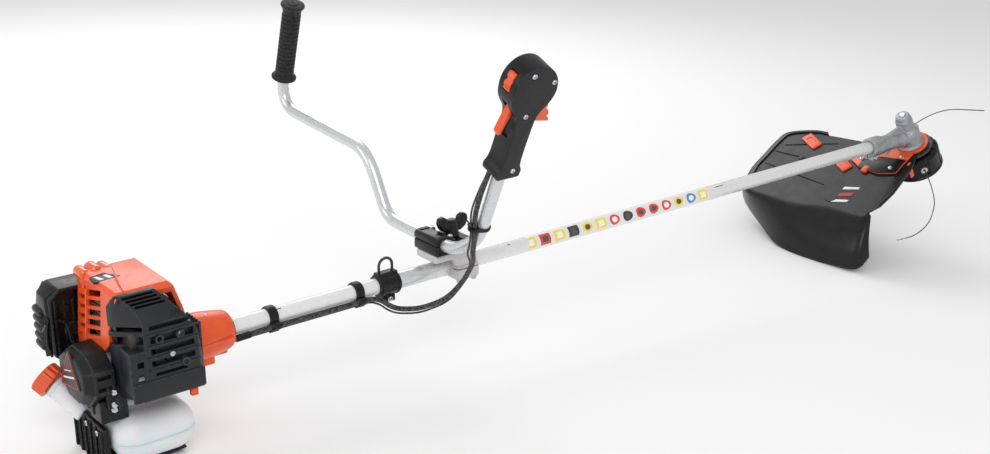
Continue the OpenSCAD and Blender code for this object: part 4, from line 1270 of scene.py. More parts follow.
@dataclass
class Starter:
    """The recoil starter on the rear, its badge, feet and pull grip."""

    slot_angles: tuple[float, ...] = (118, 100, 82, 64, -118, -100)
    nut_heights: tuple[float, ...] = (-16, -34, -42)

    def loft(self, size: float, start: float, end: float, small: float) -> Solid:
        """An eight-sided block whose rear face is smaller than its front face.

        Args:
            size: The front face's size.
            start: Where the rear face lies along the shaft.
            end: Where the front face lies.
            small: The rear face's size.

        Returns:
            The block.
        """
        def corner(scale: float, k: int) -> tuple[float, float]:
            """The block's k-th corner, lower above the middle than below it."""
            angle = math.radians(22.5 + 45 * k)
            rise = 0.62 if math.sin(angle) > 0 else 0.92
            return (scale * math.cos(angle) - 8, scale * rise * math.sin(angle) + 2)
        return Solid.hull([(s, *corner(scale, k)) for k in range(8)
                           for s, scale in ((start, small), (end, size))])

    def build(self) -> None:
        """Makes the cover, badge, feet with nuts, rope and grip."""
        cover = self.loft(56, -220, -192, 54).bevel(2.5, 3, 20)
        cover.add(self.loft(52, -232, -219, 43).bevel(2.0, 3, 20))
        cover.add(Solid.rod((-214, -4, -14), (-192, -4, -14), 44, 47, 48).bevel(1.5, 2))
        slots = [Solid.box((-216, -3, 42), (-198, 3, 72)).turn(a, "X", (0, -6, -6))
                 for a in self.slot_angles]
        cover.cut(*slots)
        cover.cut(self.loft(44, -214, -180, 44))
        piece("starter_housing", cover, CHARCOAL, ("starter_cover",))
        points = [(p[0], p[1]) for p in
                  rounded([(8, 6.5), (-9, 34), (-37, -11), (25, -22), (8, 6.5)], 7, 5)[:-1]]
        middle = (-8, 0)

        def scaled(share: float) -> list[tuple[float, float]]:
            """The badge's outline, scaled about its middle."""
            return [(middle[0] + (y - middle[0]) * share, middle[1] + (z - middle[1]) * share)
                    for y, z in points]
        rim = Solid.prism(scaled(1.0), Plane.FRONT, -234.2, -231).cut(
            Solid.prism(scaled(0.93), Plane.FRONT, -236, -230))
        piece("badge_rim", rim, RED_MARK)
        plate = Solid.prism(scaled(1.16), Plane.FRONT, -233.4, -230).bevel(0.9, 2)
        plate.add(Solid.prism(scaled(0.92), Plane.FRONT, -233.9, -232).bevel(0.3, 1))
        piece("badge_plate", plate, BLACK)
        stripes = [Solid.prism([(13, -8), (-24, 3.2), (-25.5, 0.8), (14.6, -11.2)],
                               Plane.FRONT, -234.4, -233.4),
                   Solid.prism([(8, 2.6), (-16, 10), (-17, 8.8), (8.8, 1.2)],
                               Plane.FRONT, -234.4, -233.4)]
        piece("badge_marks", Solid().add(*stripes), SILVER_MARK)
        feet = Solid.box((-214, -52, -62), (-176, -14, -30)).bevel(2.2)
        feet.add(Solid.box((-206, -58, -40), (-184, -44, -8)).bevel(2),
                 Solid.box((-216, -30, -56), (-208, 20, -34)).bevel(2),
                 Solid.tube([(-204, -56, -6), (-196, -60, -24), (-190, -58, -44)], 2.6, 10))
        feet.cut(Solid.box((-220, -22, -50), (-206, -12, -40)))
        piece("starter_feet", feet, BLACK)
        nuts = Solid().add(*[Solid.lathe([(0, 0), (0, 4.4), (3.2, 4.4), (3.2, 2.2), (6, 2.2),
                                          (6, 0)], (-196, -58 + 1.4 * k, z), (-0.5, -1, 0), 6)
                             for k, z in enumerate(self.nut_heights)])
        piece("foot_nuts", nuts, STEEL)
        grip = Solid.lathe([(0, 0), (0.6, 4), (2.5, 7), (8, 7.6), (14, 6.4), (20, 7.6),
                            (25.5, 7), (27.4, 4), (28, 0)], (-206, 67, -31), (1, 0, 0), 28)
        grip.add(Solid.lathe([(0, 0), (0, 4.4), (6, 5.2), (8, 5.2), (8, 0)], (-192, 58, -31),
                             (0, 1, 0), 24))
        piece("pull_grip_handle", grip, RUBBER, ("starter_grip",))
        rope = Solid.tube([(-194, y, -31) for y in range(40, 62, 2)], 1.6, 8, 0.2, 0.5)
        rope_piece = piece("pull_rope", rope, SHEATH, body=BENDS)
        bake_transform(rope_piece)


@dataclass
class FuelTank:
    """The milky tank with its filler neck and cap, and the skid beneath it."""

    ribs: tuple[float, ...] = (-41, -22, -4, 14, 32, 50)

    def build(self) -> None:
        """Makes tank, cap and skid."""
        tank = Solid.box((-200, -75, -128.5), (-84, 70, -60)).bevel(31, 8)
        tank.fuse(Solid.rod((-202.1, 32.5, -79.3), (-229.6, 67.4, -45.1), 17.6, 16.6, 40))
        tank.fuse(Solid.box((-186, -30, -64), (-114, 30, -48)).bevel(4))
        tank.blend_shapes(2.4, 9)
        seam = Solid.prism([(p[0], p[1]) for p in
                            rounded([(-140, -75.5), (-200.5, -75.5), (-200.5, 70.5),
                                     (-83.5, 70.5), (-83.5, -75.5), (-140, -75.5)],
                                    44, 10)[:-1]], Plane.TOP, -96, -94.6).bevel(0.5, 2, 60)
        tank.add(seam)
        piece("fuel_tank_body", tank, MILK, ("fuel_tank",), smooth=50)
        collar = Solid.lathe([(0, 12), (0, 16.4), (3, 17.4), (5, 17.4), (7, 15), (7, 12)],
                             steps=40, closed=True).turn(-90, "Y").move(0, 0, 38).place(NECK)
        piece("neck_collar", collar, MILK)
        outline = []
        for k in range(96):
            angle = math.tau * k / 96
            radius = 22 + 0.75 * (1 if math.cos(angle * 16) > 0.1 else -1)
            outline.append((radius * math.cos(angle), radius * math.sin(angle)))
        cap = Solid.prism(outline, Plane.TOP, 47.4, 64.6).bevel(0.45, 1, 30)
        cap.add(Solid.lathe([(63.6, 0), (63.6, 21.4), (65.6, 20.8), (66.6, 19), (66.6, 14.4),
                             (65, 13.2), (65, 0)], axis=(0, 0, 1), steps=64))
        cap.add(Solid.lathe([(46.6, 15.3), (46.6, 22.4), (48.4, 22.9), (50, 22.3), (50, 15.3)],
                            axis=(0, 0, 1), steps=64, closed=True))
        cap.add(Solid.box((-11, -1.6, 64.6), (11, 1.6, 66.8)).bevel(0.6, 2))
        piece("fuel_cap_top", cap.place(NECK), CAP_ORANGE, ("fuel_cap",))
        skid = Solid.prism([(-212, -74), (-206, -72), (-203, -76), (-203, -130), (-108, -132.5),
                            (-108, -129), (-100, -127), (-96, -137), (-206, -144.6),
                            (-212.6, -137)], Plane.SIDE, -46, 58).bevel(1.6, 3, 25)
        skid.cut(Solid.box((-190, -30, -150), (-120, 42, -142)))
        for y in self.ribs:
            skid.add(Solid.tube(rounded([(-209.5, y, -74), (-213.2, y, -78), (-213.6, y, -136),
                                         (-207, y, -142.4)], 5, 4), 2.0, 10))
        skid.add(*[Solid.tube(rounded([(-210, y, -82), (-213.4, y, -84), (-213.4, y, -122)],
                                      3, 3), 0.9, 8) for y in (-31.5, -13, 5, 23, 41)])
        skid.meet(Solid.prism([(-46.5, -70), (-46.5, -136), (-40, -143), (-20, -148),
                               (24, -148), (42, -141), (53, -130), (59, -114), (59, -70)],
                              Plane.FRONT, -230, -80))
        below = Solid.box((-300, -200, -400), (300, 200, 0.2))
        skid.cut(below.place(Matrix.Translation(-FOOT) @ Matrix.Rotation(RISE, 4, "Y")))
        piece("tank_skid", skid, BLACK, ("tank_guard",))


@dataclass
class ClutchHousing:
    """The orange housing that joins the engine to the drive tube."""

    boss_angles: tuple[float, ...] = (25, 155)

    def build(self) -> None:
        """Makes the housing, its gasket ring and its marks."""
        body = Solid.lathe([(-70, 28.2), (-70, 34.6), (-66, 35.4), (-62, 34.8), (-44, 34.6),
                            (-30, 32.6), (-10, 29.4), (-4, 27.6), (-1.2, 25.6), (0, 22.8),
                            (0, 12.8), (-22, 12.8), (-24, 16), (-40, 28.2)], steps=64,
                           closed=True)
        body.add(Solid.box((-69, -15.5, -41), (-30, 15.5, -18)).bevel(2.4),
                 Solid.box((-31, -12, -32), (-8, 12, -16)).bevel(2.4),
                 Solid.box((-66, -36.6, -3), (-6, -24, 0.6)).bevel(1.4),
                 Solid.box((-66, 24, -3), (-6, 36.6, 0.6)).bevel(1.4))
        for angle in self.boss_angles:
            body.add(Solid.rod((-69, 34, 0), (-58, 34, 0), 5.2, 4.6, 24).turn(angle, "X"))
        body.cut(Solid.box((-25, -1, -40), (-4, 1, -12)))
        piece("clutch_cover", body, ORANGE, ("clutch_housing",))
        mark = [Solid.prism([(-46 + 6 * k, -3), (-43 + 6 * k, -3), (-39 + 6 * k, 5),
                             (-42 + 6 * k, 5)], Plane.TOP, 31.5, 33.9).turn(14, "X")
                .turn(4, "Y", (-43, 0, 33)) for k in range(2)]
        piece("clutch_mark", Solid().add(*mark), SILVER_MARK)
        ring = Solid.lathe([(-1, 13), (-1, 21.6), (1.4, 21.2), (2.6, 19), (2.6, 13)], steps=56,
                           closed=True)
        piece("housing_gasket", ring, CHARCOAL)
        screws = Solid().add(
            screw((-16, -13, -22), (0, -1, 0), 3.6), screw((-16, 13, -22), (0, 1, 0), 3.6),
            screw((-214.4, -31, -82), (-1, 0, 0), 4, 1.6),
            screw((-214.4, 5, -82), (-1, 0, 0), 4, 1.6),
            screw((-130, -101.6, 36.5), (0, -1, 0), 4),
            screw((-59, 31, 14.4), (1, 0, 0), 3.4), screw((-59, -31, 14.4), (1, 0, 0), 3.4))
        piece("engine_fasteners", screws, STEEL, ("engine_screws",))


@dataclass
class Shaft:
    """The drive tube with its label, clips, harness hanger and the two cables."""

    radius: float = 12.7
    clips: tuple[float, ...] = (67, 213)
    hanger: float = 267

    def build(self) -> None:
        """Makes the tube, label, clips, hanger and cables."""
        r = self.radius
        tube = Solid.lathe([(-24, 11.1), (-24, r), (1454, r), (1455, r - 0.6), (1455, 11.1)],
                           steps=72, closed=True)
        piece("shaft_tube", tube, WHITE_TUBE, ("drive_tube",))
        label = Solid.lathe([(540, r + 0.02), (540, r + 0.16), (962, r + 0.16),
                             (962, r + 0.02)], steps=72, closed=True)
        piece("shaft_label", label, LABEL)
        sleeve = Solid.lathe([(289, r + 0.02), (290, r + 0.5), (383, r + 0.5), (384, r + 0.02)],
                             steps=72, closed=True)
        piece("shaft_sleeve", sleeve, ALUMINIUM)
        clips = Solid()
        for s in self.clips:
            band = Solid.lathe([(-7, r + 0.1), (-7, r + 2.2), (-6, r + 2.9), (6, r + 2.9),
                                (7, r + 2.2), (7, r + 0.1)], (s, 0, 0), steps=48, closed=True)
            clips.add(band, Solid.lathe([(-7, 4.2), (-7, 5.8), (-6, 6.4), (6, 6.4), (7, 5.8),
                                         (7, 4.2)], (s, -16, -10), steps=28, closed=True),
                      Solid.lathe([(-7, 1.8), (-7, 3.6), (7, 3.6), (7, 1.8)], (s, -9, -18),
                                  steps=20, closed=True),
                      Solid.box((s - 5, -5, -r - 6.5), (s + 5, 4, -r - 1)).bevel(1.2),
                      *[Solid.lathe([(-0.8, r + 2.8), (-0.5, r + 3.4), (0.5, r + 3.4),
                                     (0.8, r + 2.8)], (s + k * 3.4, 0, 0), steps=48,
                                    closed=True) for k in (-1, 0, 1)])
        piece("cable_clip_bands", clips, BLACK, ("cable_clips",))
        self.build_hanger()
        self.build_cables()

    def build_hanger(self) -> None:
        """Makes the harness clamp, its wire eye and its bolt."""
        r, s = self.radius, self.hanger
        clamp = Solid.lathe([(-19, r + 0.1), (-19, r + 3.6), (-17.6, r + 4.6), (17.6, r + 4.6),
                             (19, r + 3.6), (19, r + 0.1)], (s, 0, 0), steps=56, closed=True)
        clamp.add(Solid.box((s - 18, -7.4, 10), (s + 18, 7.4, 20.6)).bevel(2),
                  Solid.box((s - 11, -9.2, -27), (s + 11, -1, -11)).bevel(1.8),
                  Solid.box((s - 11, 1, -27), (s + 11, 9.2, -11)).bevel(1.8),
                  *[Solid.lathe([(k, r + 4.4), (k + 0.6, r + 5.6), (k + 2.6, r + 5.6),
                                 (k + 3.2, r + 4.4)], (s, 0, 0), steps=56, closed=True)
                    for k in (-16, 12.8)])
        clamp.cut(Solid.box((s - 30, -0.9, -40), (s + 30, 0.9, -10)))
        piece("harness_clamp", clamp, BLACK, ("hanger_clamp",))
        arc = [(s + 12 * math.cos(a), 0, 30 + 12 * math.sin(a))
               for a in (math.pi * k / 16 for k in range(17))]
        eye = Solid.tube([(s + 12, 0, 15), (s + 12, 0, 22), *arc, (s - 12, 0, 22),
                          (s - 12, 0, 15)], 2.25, 16)
        piece("harness_eye", eye, DARK_STEEL, ("hanger_eye",))
        bolts = Solid().add(
            screw((s, -9.4, -21), (0, -1, 0), 4.5, 4), Solid.rod((s, -9, -21), (s, 12, -21), 2.5),
            Solid.rod((s, 9.4, -21), (s, 13.2, -21), 4.6, steps=6))
        for along in (392, 420):
            for y in (-19, 19):
                bolts.add(screw((along, y, -19.8), (0, 0, -1), 4.5, 4),
                          Solid.rod((along, y, -20), (along, y, 4), 2.5))
        bolts.add(screw((1447, -13, -19), (0, -1, 0), 4.5, 4),
                  Solid.rod((1447, -13, -19), (1447, 12, -19), 2.5))
        piece("clamp_bolts", bolts, STEEL, ("tube_bolts",))

    def build_cables(self) -> None:
        """Makes the two cables, which are attached to no body."""
        cable = rounded([(345.5, -158.4, 205.5), (342, -142, 168.4), (342, -127.5, 132),
                         (343, -124.3, 108.5), (344, -122, 86), (348, -113, 66),
                         (361.5, -97, 42), (366, -65, 0), (343, -53, -27), (302, -41, -37),
                         (262, -29, -31), (240, -16, -10), (161, -16, -10), (111, -16, -10),
                         (40, -16, -10), (20, -16, -11), (0.5, -16, -12)], 17, 6)
        wire = rounded([(352, -152, 208.4), (346, -133.7, 172.1), (338, -121.5, 134.3),
                        (337, -124.3, 108.5), (337, -121, 86), (341, -108, 63),
                        (366, -84, 38), (373, -60, -4), (349, -49, -35), (304, -37, -46),
                        (262, -24, -40), (240, -9, -18), (161, -9, -18), (111, -9, -18),
                        (40, -9, -18), (20, -9, -18), (0.5, -8, -19)], 17, 6)
        for name, path, radius, node in (("throttle_cable_sheath", cable, 4.0, "throttle_cable"),
                                         ("stop_wire_sheath", wire, 1.5, "stop_wire")):
            thing = piece(name, Solid.tube(path, radius, 18), SHEATH, body=BENDS)
            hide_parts(node)
            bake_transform(thing)
        ribs = Solid()
        for k in range(9):
            t = k * 2.6
            ribs.add(Solid.lathe([(t, 4), (t + 0.4, 5.2), (t + 1.5, 5.2), (t + 1.9, 4)],
                                 (3, -16, -11.9), (1, 0, 0.03), 24, closed=True))
        piece("cable_boot", ribs, RUBBER)


@dataclass
class Handlebar:
    """The U handlebar, its left grip, and the clamp with its wing knob."""

    station: float = 358
    radius: float = 10
    arm: tuple[tuple[float, float], ...] = (
        (-189, 255), (-117, 92), (-97, 74), (-54, 50), (54, 50), (128, 51), (171, 128),
        (201, 153), (396, 165), (436, 169), (455, 198), (404, 351))

    def build(self) -> None:
        """Makes the bar, grip and clamp."""
        path = rounded([(self.station, y, z) for y, z in self.arm], 24, 9)
        piece("bar_tube", Solid.tube(path, self.radius, 40), ALUMINIUM, ("handlebar",))
        self.build_grip()
        self.build_clamp()

    def build_grip(self) -> None:
        """Makes the ribbed grip with its flanged ends."""
        profile = [(0, 10.2), (0, 20.4), (1, 21.6), (4, 21.6), (5.4, 20), (7, 17.4), (10, 15.8)]
        for k in range(15):
            z = 13 + k * 7.6
            profile += [(z, 15.2), (z + 0.7, 16.3), (z + 4.9, 16.3), (z + 5.6, 15.2)]
        profile += [(130, 15.8), (136, 16.8), (139, 19.6), (141, 20.6), (143.6, 20.2),
                    (144.8, 17), (145, 12), (145, 0), (140, 0), (140, 10.2)]
        grip = Solid.lathe(profile, axis=(0, 0, 1), steps=64, closed=True)
        grip.add(Solid.lathe([(140, 0), (140, 9.9), (146, 9.2), (146.4, 4), (146.4, 0)],
                             axis=(0, 0, 1), steps=40))
        piece("left_handle_grip", grip.place(GRIP), RUBBER, ("left_grip",), smooth=24)

    def build_clamp(self) -> None:
        """Makes the bracket on the tube, the two clamp halves and the knob."""
        bracket = Solid.lathe([(-8, 12.8), (-8, 17), (-6.5, 18.2), (34.5, 18.2), (36, 17),
                               (36, 12.8)], (393, 0, 0), steps=56, closed=True)
        bracket.add(Solid.box((385, -24.6, -19.6), (429, 24.6, 6)).bevel(5, 4),
                    Solid.hull([(386, -23, 4), (386, 23, 4), (428, -23, 4), (428, 23, 4),
                                (376, -24, 24), (376, 24, 24), (415, -24, 24),
                                (415, 24, 24)]).bevel(3.5, 4),
                    Solid.box((342, -26, 20.4), (415, 26, 32.8)).bevel(3))
        bracket.cut(Solid.box((370, -40, -1), (440, 40, 1)), Solid.rod((340, 0, 0), (384, 0, 0),
                                                                       12.75, steps=56))
        piece("bar_bracket", bracket, SATIN, ("handle_bracket",))
        lower = Solid.box((341.6, -31.4, 33), (415.4, 31.4, 49.8)).bevel(3)
        lower.cut(Solid.box((370, -40, 41), (420, 40, 60)), Solid.rod(
            (358, -50, 50), (358, 50, 50), 10.1, steps=40))
        for y in (-31.4, 31.4):
            lower.add(Solid.box((346, y - 1, 35), (410, y + 1, 38)).bevel(0.8, 2))
        piece("clamp_lower", lower, BLACK, ("clamp_base",))
        upper = Solid.prism([(341.6, 50.2), (372.6, 50.2), (372.6, 41.4), (415.4, 41.4),
                             (415.4, 49), (381, 49.2), (377, 56.4), (366, 63.2), (346, 63.2),
                             (341.6, 59)], Plane.SIDE, -31.4, 31.4).bevel(2.6, 3, 25)
        upper.cut(Solid.rod((358, -50, 50), (358, 50, 50), 10.1, steps=40))
        for y in (-24, 24):
            upper.add(Solid.rod((371.2, y, 56), (371.2, y, 61), 6.4, 5.8, 28),
                      Solid.box((348, y - 4, 62.4), (364, y + 4, 64.4)).bevel(0.8, 2))
        upper.add(Solid.box((386, -28, 48.4), (412, -14, 51)).bevel(1, 2),
                  Solid.box((386, 14, 48.4), (412, 28, 51)).bevel(1, 2))
        piece("clamp_upper", upper, BLACK, ("clamp_cap",))
        heads = Solid().add(*[screw((371.2, y, 60.8), (0, 0, 1), 4.2, 2.6) for y in (-24, 24)])
        piece("clamp_heads", heads, STEEL, ("clamp_screws",))
        knob = Solid.lathe([(49.6, 0), (49.6, 11), (52, 12), (56, 11), (60, 9.2), (72, 9),
                            (76, 8), (77.4, 5), (77.4, 0)], (393, 0, 0), (0, 0, 1), 40)
        knob.add(Solid.rod((393, 0, 22), (393, 0, 50), 4, steps=24))
        for side in (1, -1):
            wing = Solid.prism([(4, 57), (15, 58), (24, 64), (28, 74), (26, 82), (18, 84.6),
                                (11, 80), (9, 74), (4, 73)], Plane.SIDE, -5.6, 5.6)
            wing.bevel(2.8, 4, 20)
            wing.turn(0 if side > 0 else 180, "Z").move(393)
            knob.add(wing)
        piece("clamp_knob", knob, BLACK, ("wing_knob",))


@dataclass
class ThrottleHandle:
    """The control handle on the right arm: shells, trigger, lockout and switch."""

    low: float = 121.0
    high: float = 312.0

    def shell(self, near: float, far: float, round_side: float) -> Solid:
        """One half of the shell, with its outer side rounded.

        Args:
            near: Where the half starts across the handle.
            far: Where it ends.
            round_side: The rounding's width.

        Returns:
            The half.
        """
        a, b = self.low, self.high
        outline = [(-18, a), (-21.4, a + 4), (-21.6, a + 12), (-17.4, a + 20), (-15.6, a + 32),
                   (-15.4, a + 64), (-16.4, a + 98), (-21, a + 112), (-30, a + 124),
                   (-36.4, a + 138), (-38.6, a + 156), (-36, b - 20), (-28, b - 8),
                   (-16, b - 0.6), (0, b + 1), (14, b - 3.4), (26, b - 12), (35, b - 25),
                   (39, b - 40), (38, b - 52), (32, a + 126), (22, a + 114), (16.8, a + 100),
                   (15.4, a + 64), (15.6, a + 32), (17.4, a + 20), (21.4, a + 12),
                   (21, a + 4), (17.6, a)]
        outline = [(p.x, p.z) for p in
                   spline([(x, 0, z) for x, z in outline + outline[:1]], 3)[:-1]]
        body = Solid.prism(outline, Plane.SIDE, -17.6, 17.6).bevel(round_side, 6, 60)
        body.cut(Solid.box((-60, far, 100), (60, 60, 340)) if near < 0
                 else Solid.box((-60, -60, 100), (60, near, 340)))
        body.cut(Solid.box((12, -8.4, a + 88), (60, 8.4, a + 137)))
        body.cut(Solid.box((-60, -6.4, a + 68), (-12.6, 6.4, a + 130)),
                 Solid.box((-60, -7.4, a + 148), (-30, 7.4, a + 180)))
        return body

    def build(self) -> None:
        """Makes the two shells, the controls and the screws."""
        a, b = self.low, self.high
        spots = ((30, b - 29), (-10, b - 13), (-3, a + 110), (6, a + 13))
        outer = self.shell(-18, 0, 9)
        outer.cut(*[Solid.rod((x, -30, z), (x, -16.2, z), 5.4, steps=24) for x, z in spots])
        piece("handle_shell_right", outer.place(THROTTLE), CHARCOAL, ("throttle_shell_outer",))
        inner = self.shell(0.1, 18, 9)
        piece("handle_shell_left", inner.place(THROTTLE), CHARCOAL, ("throttle_shell_inner",))
        heads = Solid().add(*[screw((x, -16.3, z), (0, -1, 0), 4.2, 2.2) for x, z in spots])
        piece("handle_screws", heads.place(THROTTLE), STEEL, ("throttle_screws",))
        trigger = Solid.prism([(12, a + 137), (22, a + 139), (32, a + 133), (35, a + 127),
                               (34, a + 123), (42, a + 119), (45, a + 112), (42, a + 108),
                               (48, a + 104), (51, a + 97), (47.6, a + 94), (53, a + 90),
                               (54, a + 84), (14, a + 92)], Plane.SIDE, -7, 7)
        piece("trigger_lever", trigger.bevel(1.5, 3, 25).place(THROTTLE), ORANGE,
              ("throttle_trigger",))
        lock = Solid.prism([(-13, a + 130), (-21, a + 131), (-27, a + 114), (-32, a + 92),
                            (-34.6, a + 80), (-31, a + 74), (-26, a + 76), (-22, a + 94),
                            (-15, a + 116)], Plane.SIDE, -5.6, 5.6).bevel(2.2, 4, 20)
        piece("lockout_bar", lock.place(THROTTLE), ORANGE, ("lockout_lever",))
        switch = Solid.prism([(-39, a + 150), (-31, a + 149), (-31, a + 178), (-36, a + 177),
                              (-38.4, a + 172), (-36.6, a + 166), (-40.6, a + 162)],
                             Plane.SIDE, -6.6, 6.6).bevel(1.2, 3, 20)
        switch.add(*[Solid.box((-41, -5, a + 153 + 3.4 * k), (-37, 5, a + 154.6 + 3.4 * k))
                     .bevel(0.5, 2) for k in range(3)])
        piece("switch_slider", switch.place(THROTTLE), ORANGE, ("stop_switch",))
        tie = Solid.hull([(x + r * math.cos(t), r * math.sin(t), z)
                          for x, r in ((0, 12.4), (-17.5, 8.3)) for z in (15.6, 20.4)
                          for t in (math.tau * k / 32 for k in range(32))]).bevel(0.7, 2)
        tie.cut(Solid.rod((0, 0, 10), (0, 0, 30), 10.2, steps=40))
        tie.cut(Solid.hull([(x + r * math.cos(t), r * math.sin(t), z)
                            for x, r in ((-15, 4.3), (-21, 1.9)) for z in (10, 30)
                            for t in (math.tau * k / 20 for k in range(20))]))
        tie.add(Solid.box((-20, 7.4, 15.4), (-13, 12, 20.6)).bevel(1, 2),
                Solid.box((-17, 11, 17), (-15.4, 19, 19.4)).bevel(0.5, 2))
        piece("cable_strap", tie.place(THROTTLE), BLACK, ("cable_tie",))


@dataclass
class GearHead:
    """The cast gear case and the bump head that hangs under it."""

    head: float = 52.5

    def build(self) -> None:
        """Makes the gear case, plate, head, eyelets and knob."""
        case = Solid.lathe([(-17, 12.8), (-17, 18), (-14, 20), (16, 20), (20, 18), (24, 16.6),
                            (76, 16.4), (82, 18.6), (106, 18.6), (106, 0), (60, 0),
                            (60, 12.8)], (1455, 0, 0), steps=64, closed=True)
        bell = Solid.lathe([(-60, 0), (-60, 12.6), (-57, 14.6), (-50, 15.6), (-48, 17.4),
                            (-26, 17.8), (-20, 24.6), (10, 25.4), (13.6, 28.6), (21, 29.2),
                            (22, 28.4), (22, 9.5), (10, 9.5), (10, 0)], axis=(0, 0, 1),
                           steps=72).place(HEAD)
        case.fuse(bell)
        case.fuse(Solid.box((1440, -11.4, -26), (1454, 11.4, -8)).bevel(1.5, 2))
        case.fuse(Solid.hull([(1480, -5, 12), (1480, 5, 12), (1545, -5, 12), (1545, 5, 12),
                              (1560, -5, 34), (1560, 5, 34), (1575, 0, 34)]))
        case.fuse(Solid.rod((1500, 0, -10), (1500, 0, -21.5), 7, 6.4, 24))
        case.blend_shapes(1.25, 5)
        case.cut(Solid.box((1410, -0.8, -40), (1454.5, 0.8, -6)))
        piece("gearbox_casting", case, CAST, ("gear_case",), smooth=45)
        extras = Solid().add(
            screw((1500, 0, -21.4), (0, 0, -1), 5, 3),
            *[part.place(HEAD) for part in ring_of(
                4, screw((22.5, 0, -21.2), (0, 0, -1), 3.2, 2.4), start=45)],
            Solid.lathe([(-62.4, 0), (-62.4, 6), (-61, 7.4), (-59.6, 7.4), (-59.6, 0)],
                        axis=(0, 0, 1), steps=6).place(HEAD))
        piece("gearbox_screws", extras, STEEL)
        plate = Solid.lathe([(24, 6.2), (24, 42), (25, 43.4), (27.4, 43.4), (28.2, 42),
                             (28.2, 36), (26.6, 35), (26.6, 6.2)], axis=(0, 0, 1), steps=72,
                            closed=True)
        piece("safety_disc", plate.place(HEAD), DARK_STEEL, ("safety_plate",))
        self.build_head()

    def build_head(self) -> None:
        """Makes the line head with its finger scallops, eyelets and bump knob."""
        r = self.head
        housing = Solid.lathe([(29, 6.3), (29, 32), (30, 34), (33, 35), (34.6, 46), (37, 50.6),
                               (40, r), (60, r), (74, r), (75.6, r + 1.6), (79, r + 1.6),
                               (80.2, r), (80.2, 37), (77, 36.2), (56, 36.2), (56, 6.3)],
                              axis=(0, 0, 1), steps=96, closed=True)
        housing.cut(*[part for part in ring_of(
            8, Solid.rod((r + 2.4, 0, 32), (r + 2.4, 0, 72.4), 6, 5, 24), start=22.5)])
        housing.add(*ring_of(16, Solid.box((38, -1.4, 32.6), (49, 1.4, 36.6)).bevel(0.8, 2)))
        housing.add(*ring_of(2, Solid.box((r - 8, -9, 46), (r + 1.8, 9, 64)).bevel(2.6),
                             start=123))
        piece("head_shell", housing.place(HEAD), BLACK, ("head_housing",), smooth=28)
        ring = Solid.lathe([(0, 2.1), (0, 5), (5.6, 5), (6.4, 6.6), (7.6, 6.9), (8.2, 6),
                            (8.2, 3.2), (6.6, 2.1)], (r - 5, 0, 55), (1, 0, 0), 32,
                           closed=True)
        eyelets = Solid().add(*ring_of(2, ring, start=123))
        piece("eyelet_rings", eyelets.place(HEAD), STEEL, ("line_eyelets",))
        spool = Solid.lathe([(45, 13), (45, 46), (48, 46.6), (48.6, 42.6), (65, 42.6),
                             (66, 46.6), (69, 46), (69, 13)], axis=(0, 0, 1), steps=64,
                            closed=True)
        piece("spool_body", spool.place(HEAD), CHARCOAL, ("line_spool",))
        knob = Solid.lathe([(69.6, 0), (69.6, 33.6), (71, 34.4), (81, 34.4), (84, 33),
                            (86, 29), (89.6, 26.4), (90.4, 22), (90.6, 0)], axis=(0, 0, 1),
                           steps=72)
        knob.cut(*ring_of(10, Solid.rod((34.6, 0, 76), (34.6, 0, 96), 3.8, 5.6, 16)))
        knob.cut(Solid.lathe([(88.4, 10), (88.4, 18), (92, 19), (92, 9)], axis=(0, 0, 1),
                             steps=48, closed=True))
        piece("bump_knob", knob.place(HEAD), CHARCOAL, ("spool_knob",), smooth=28)


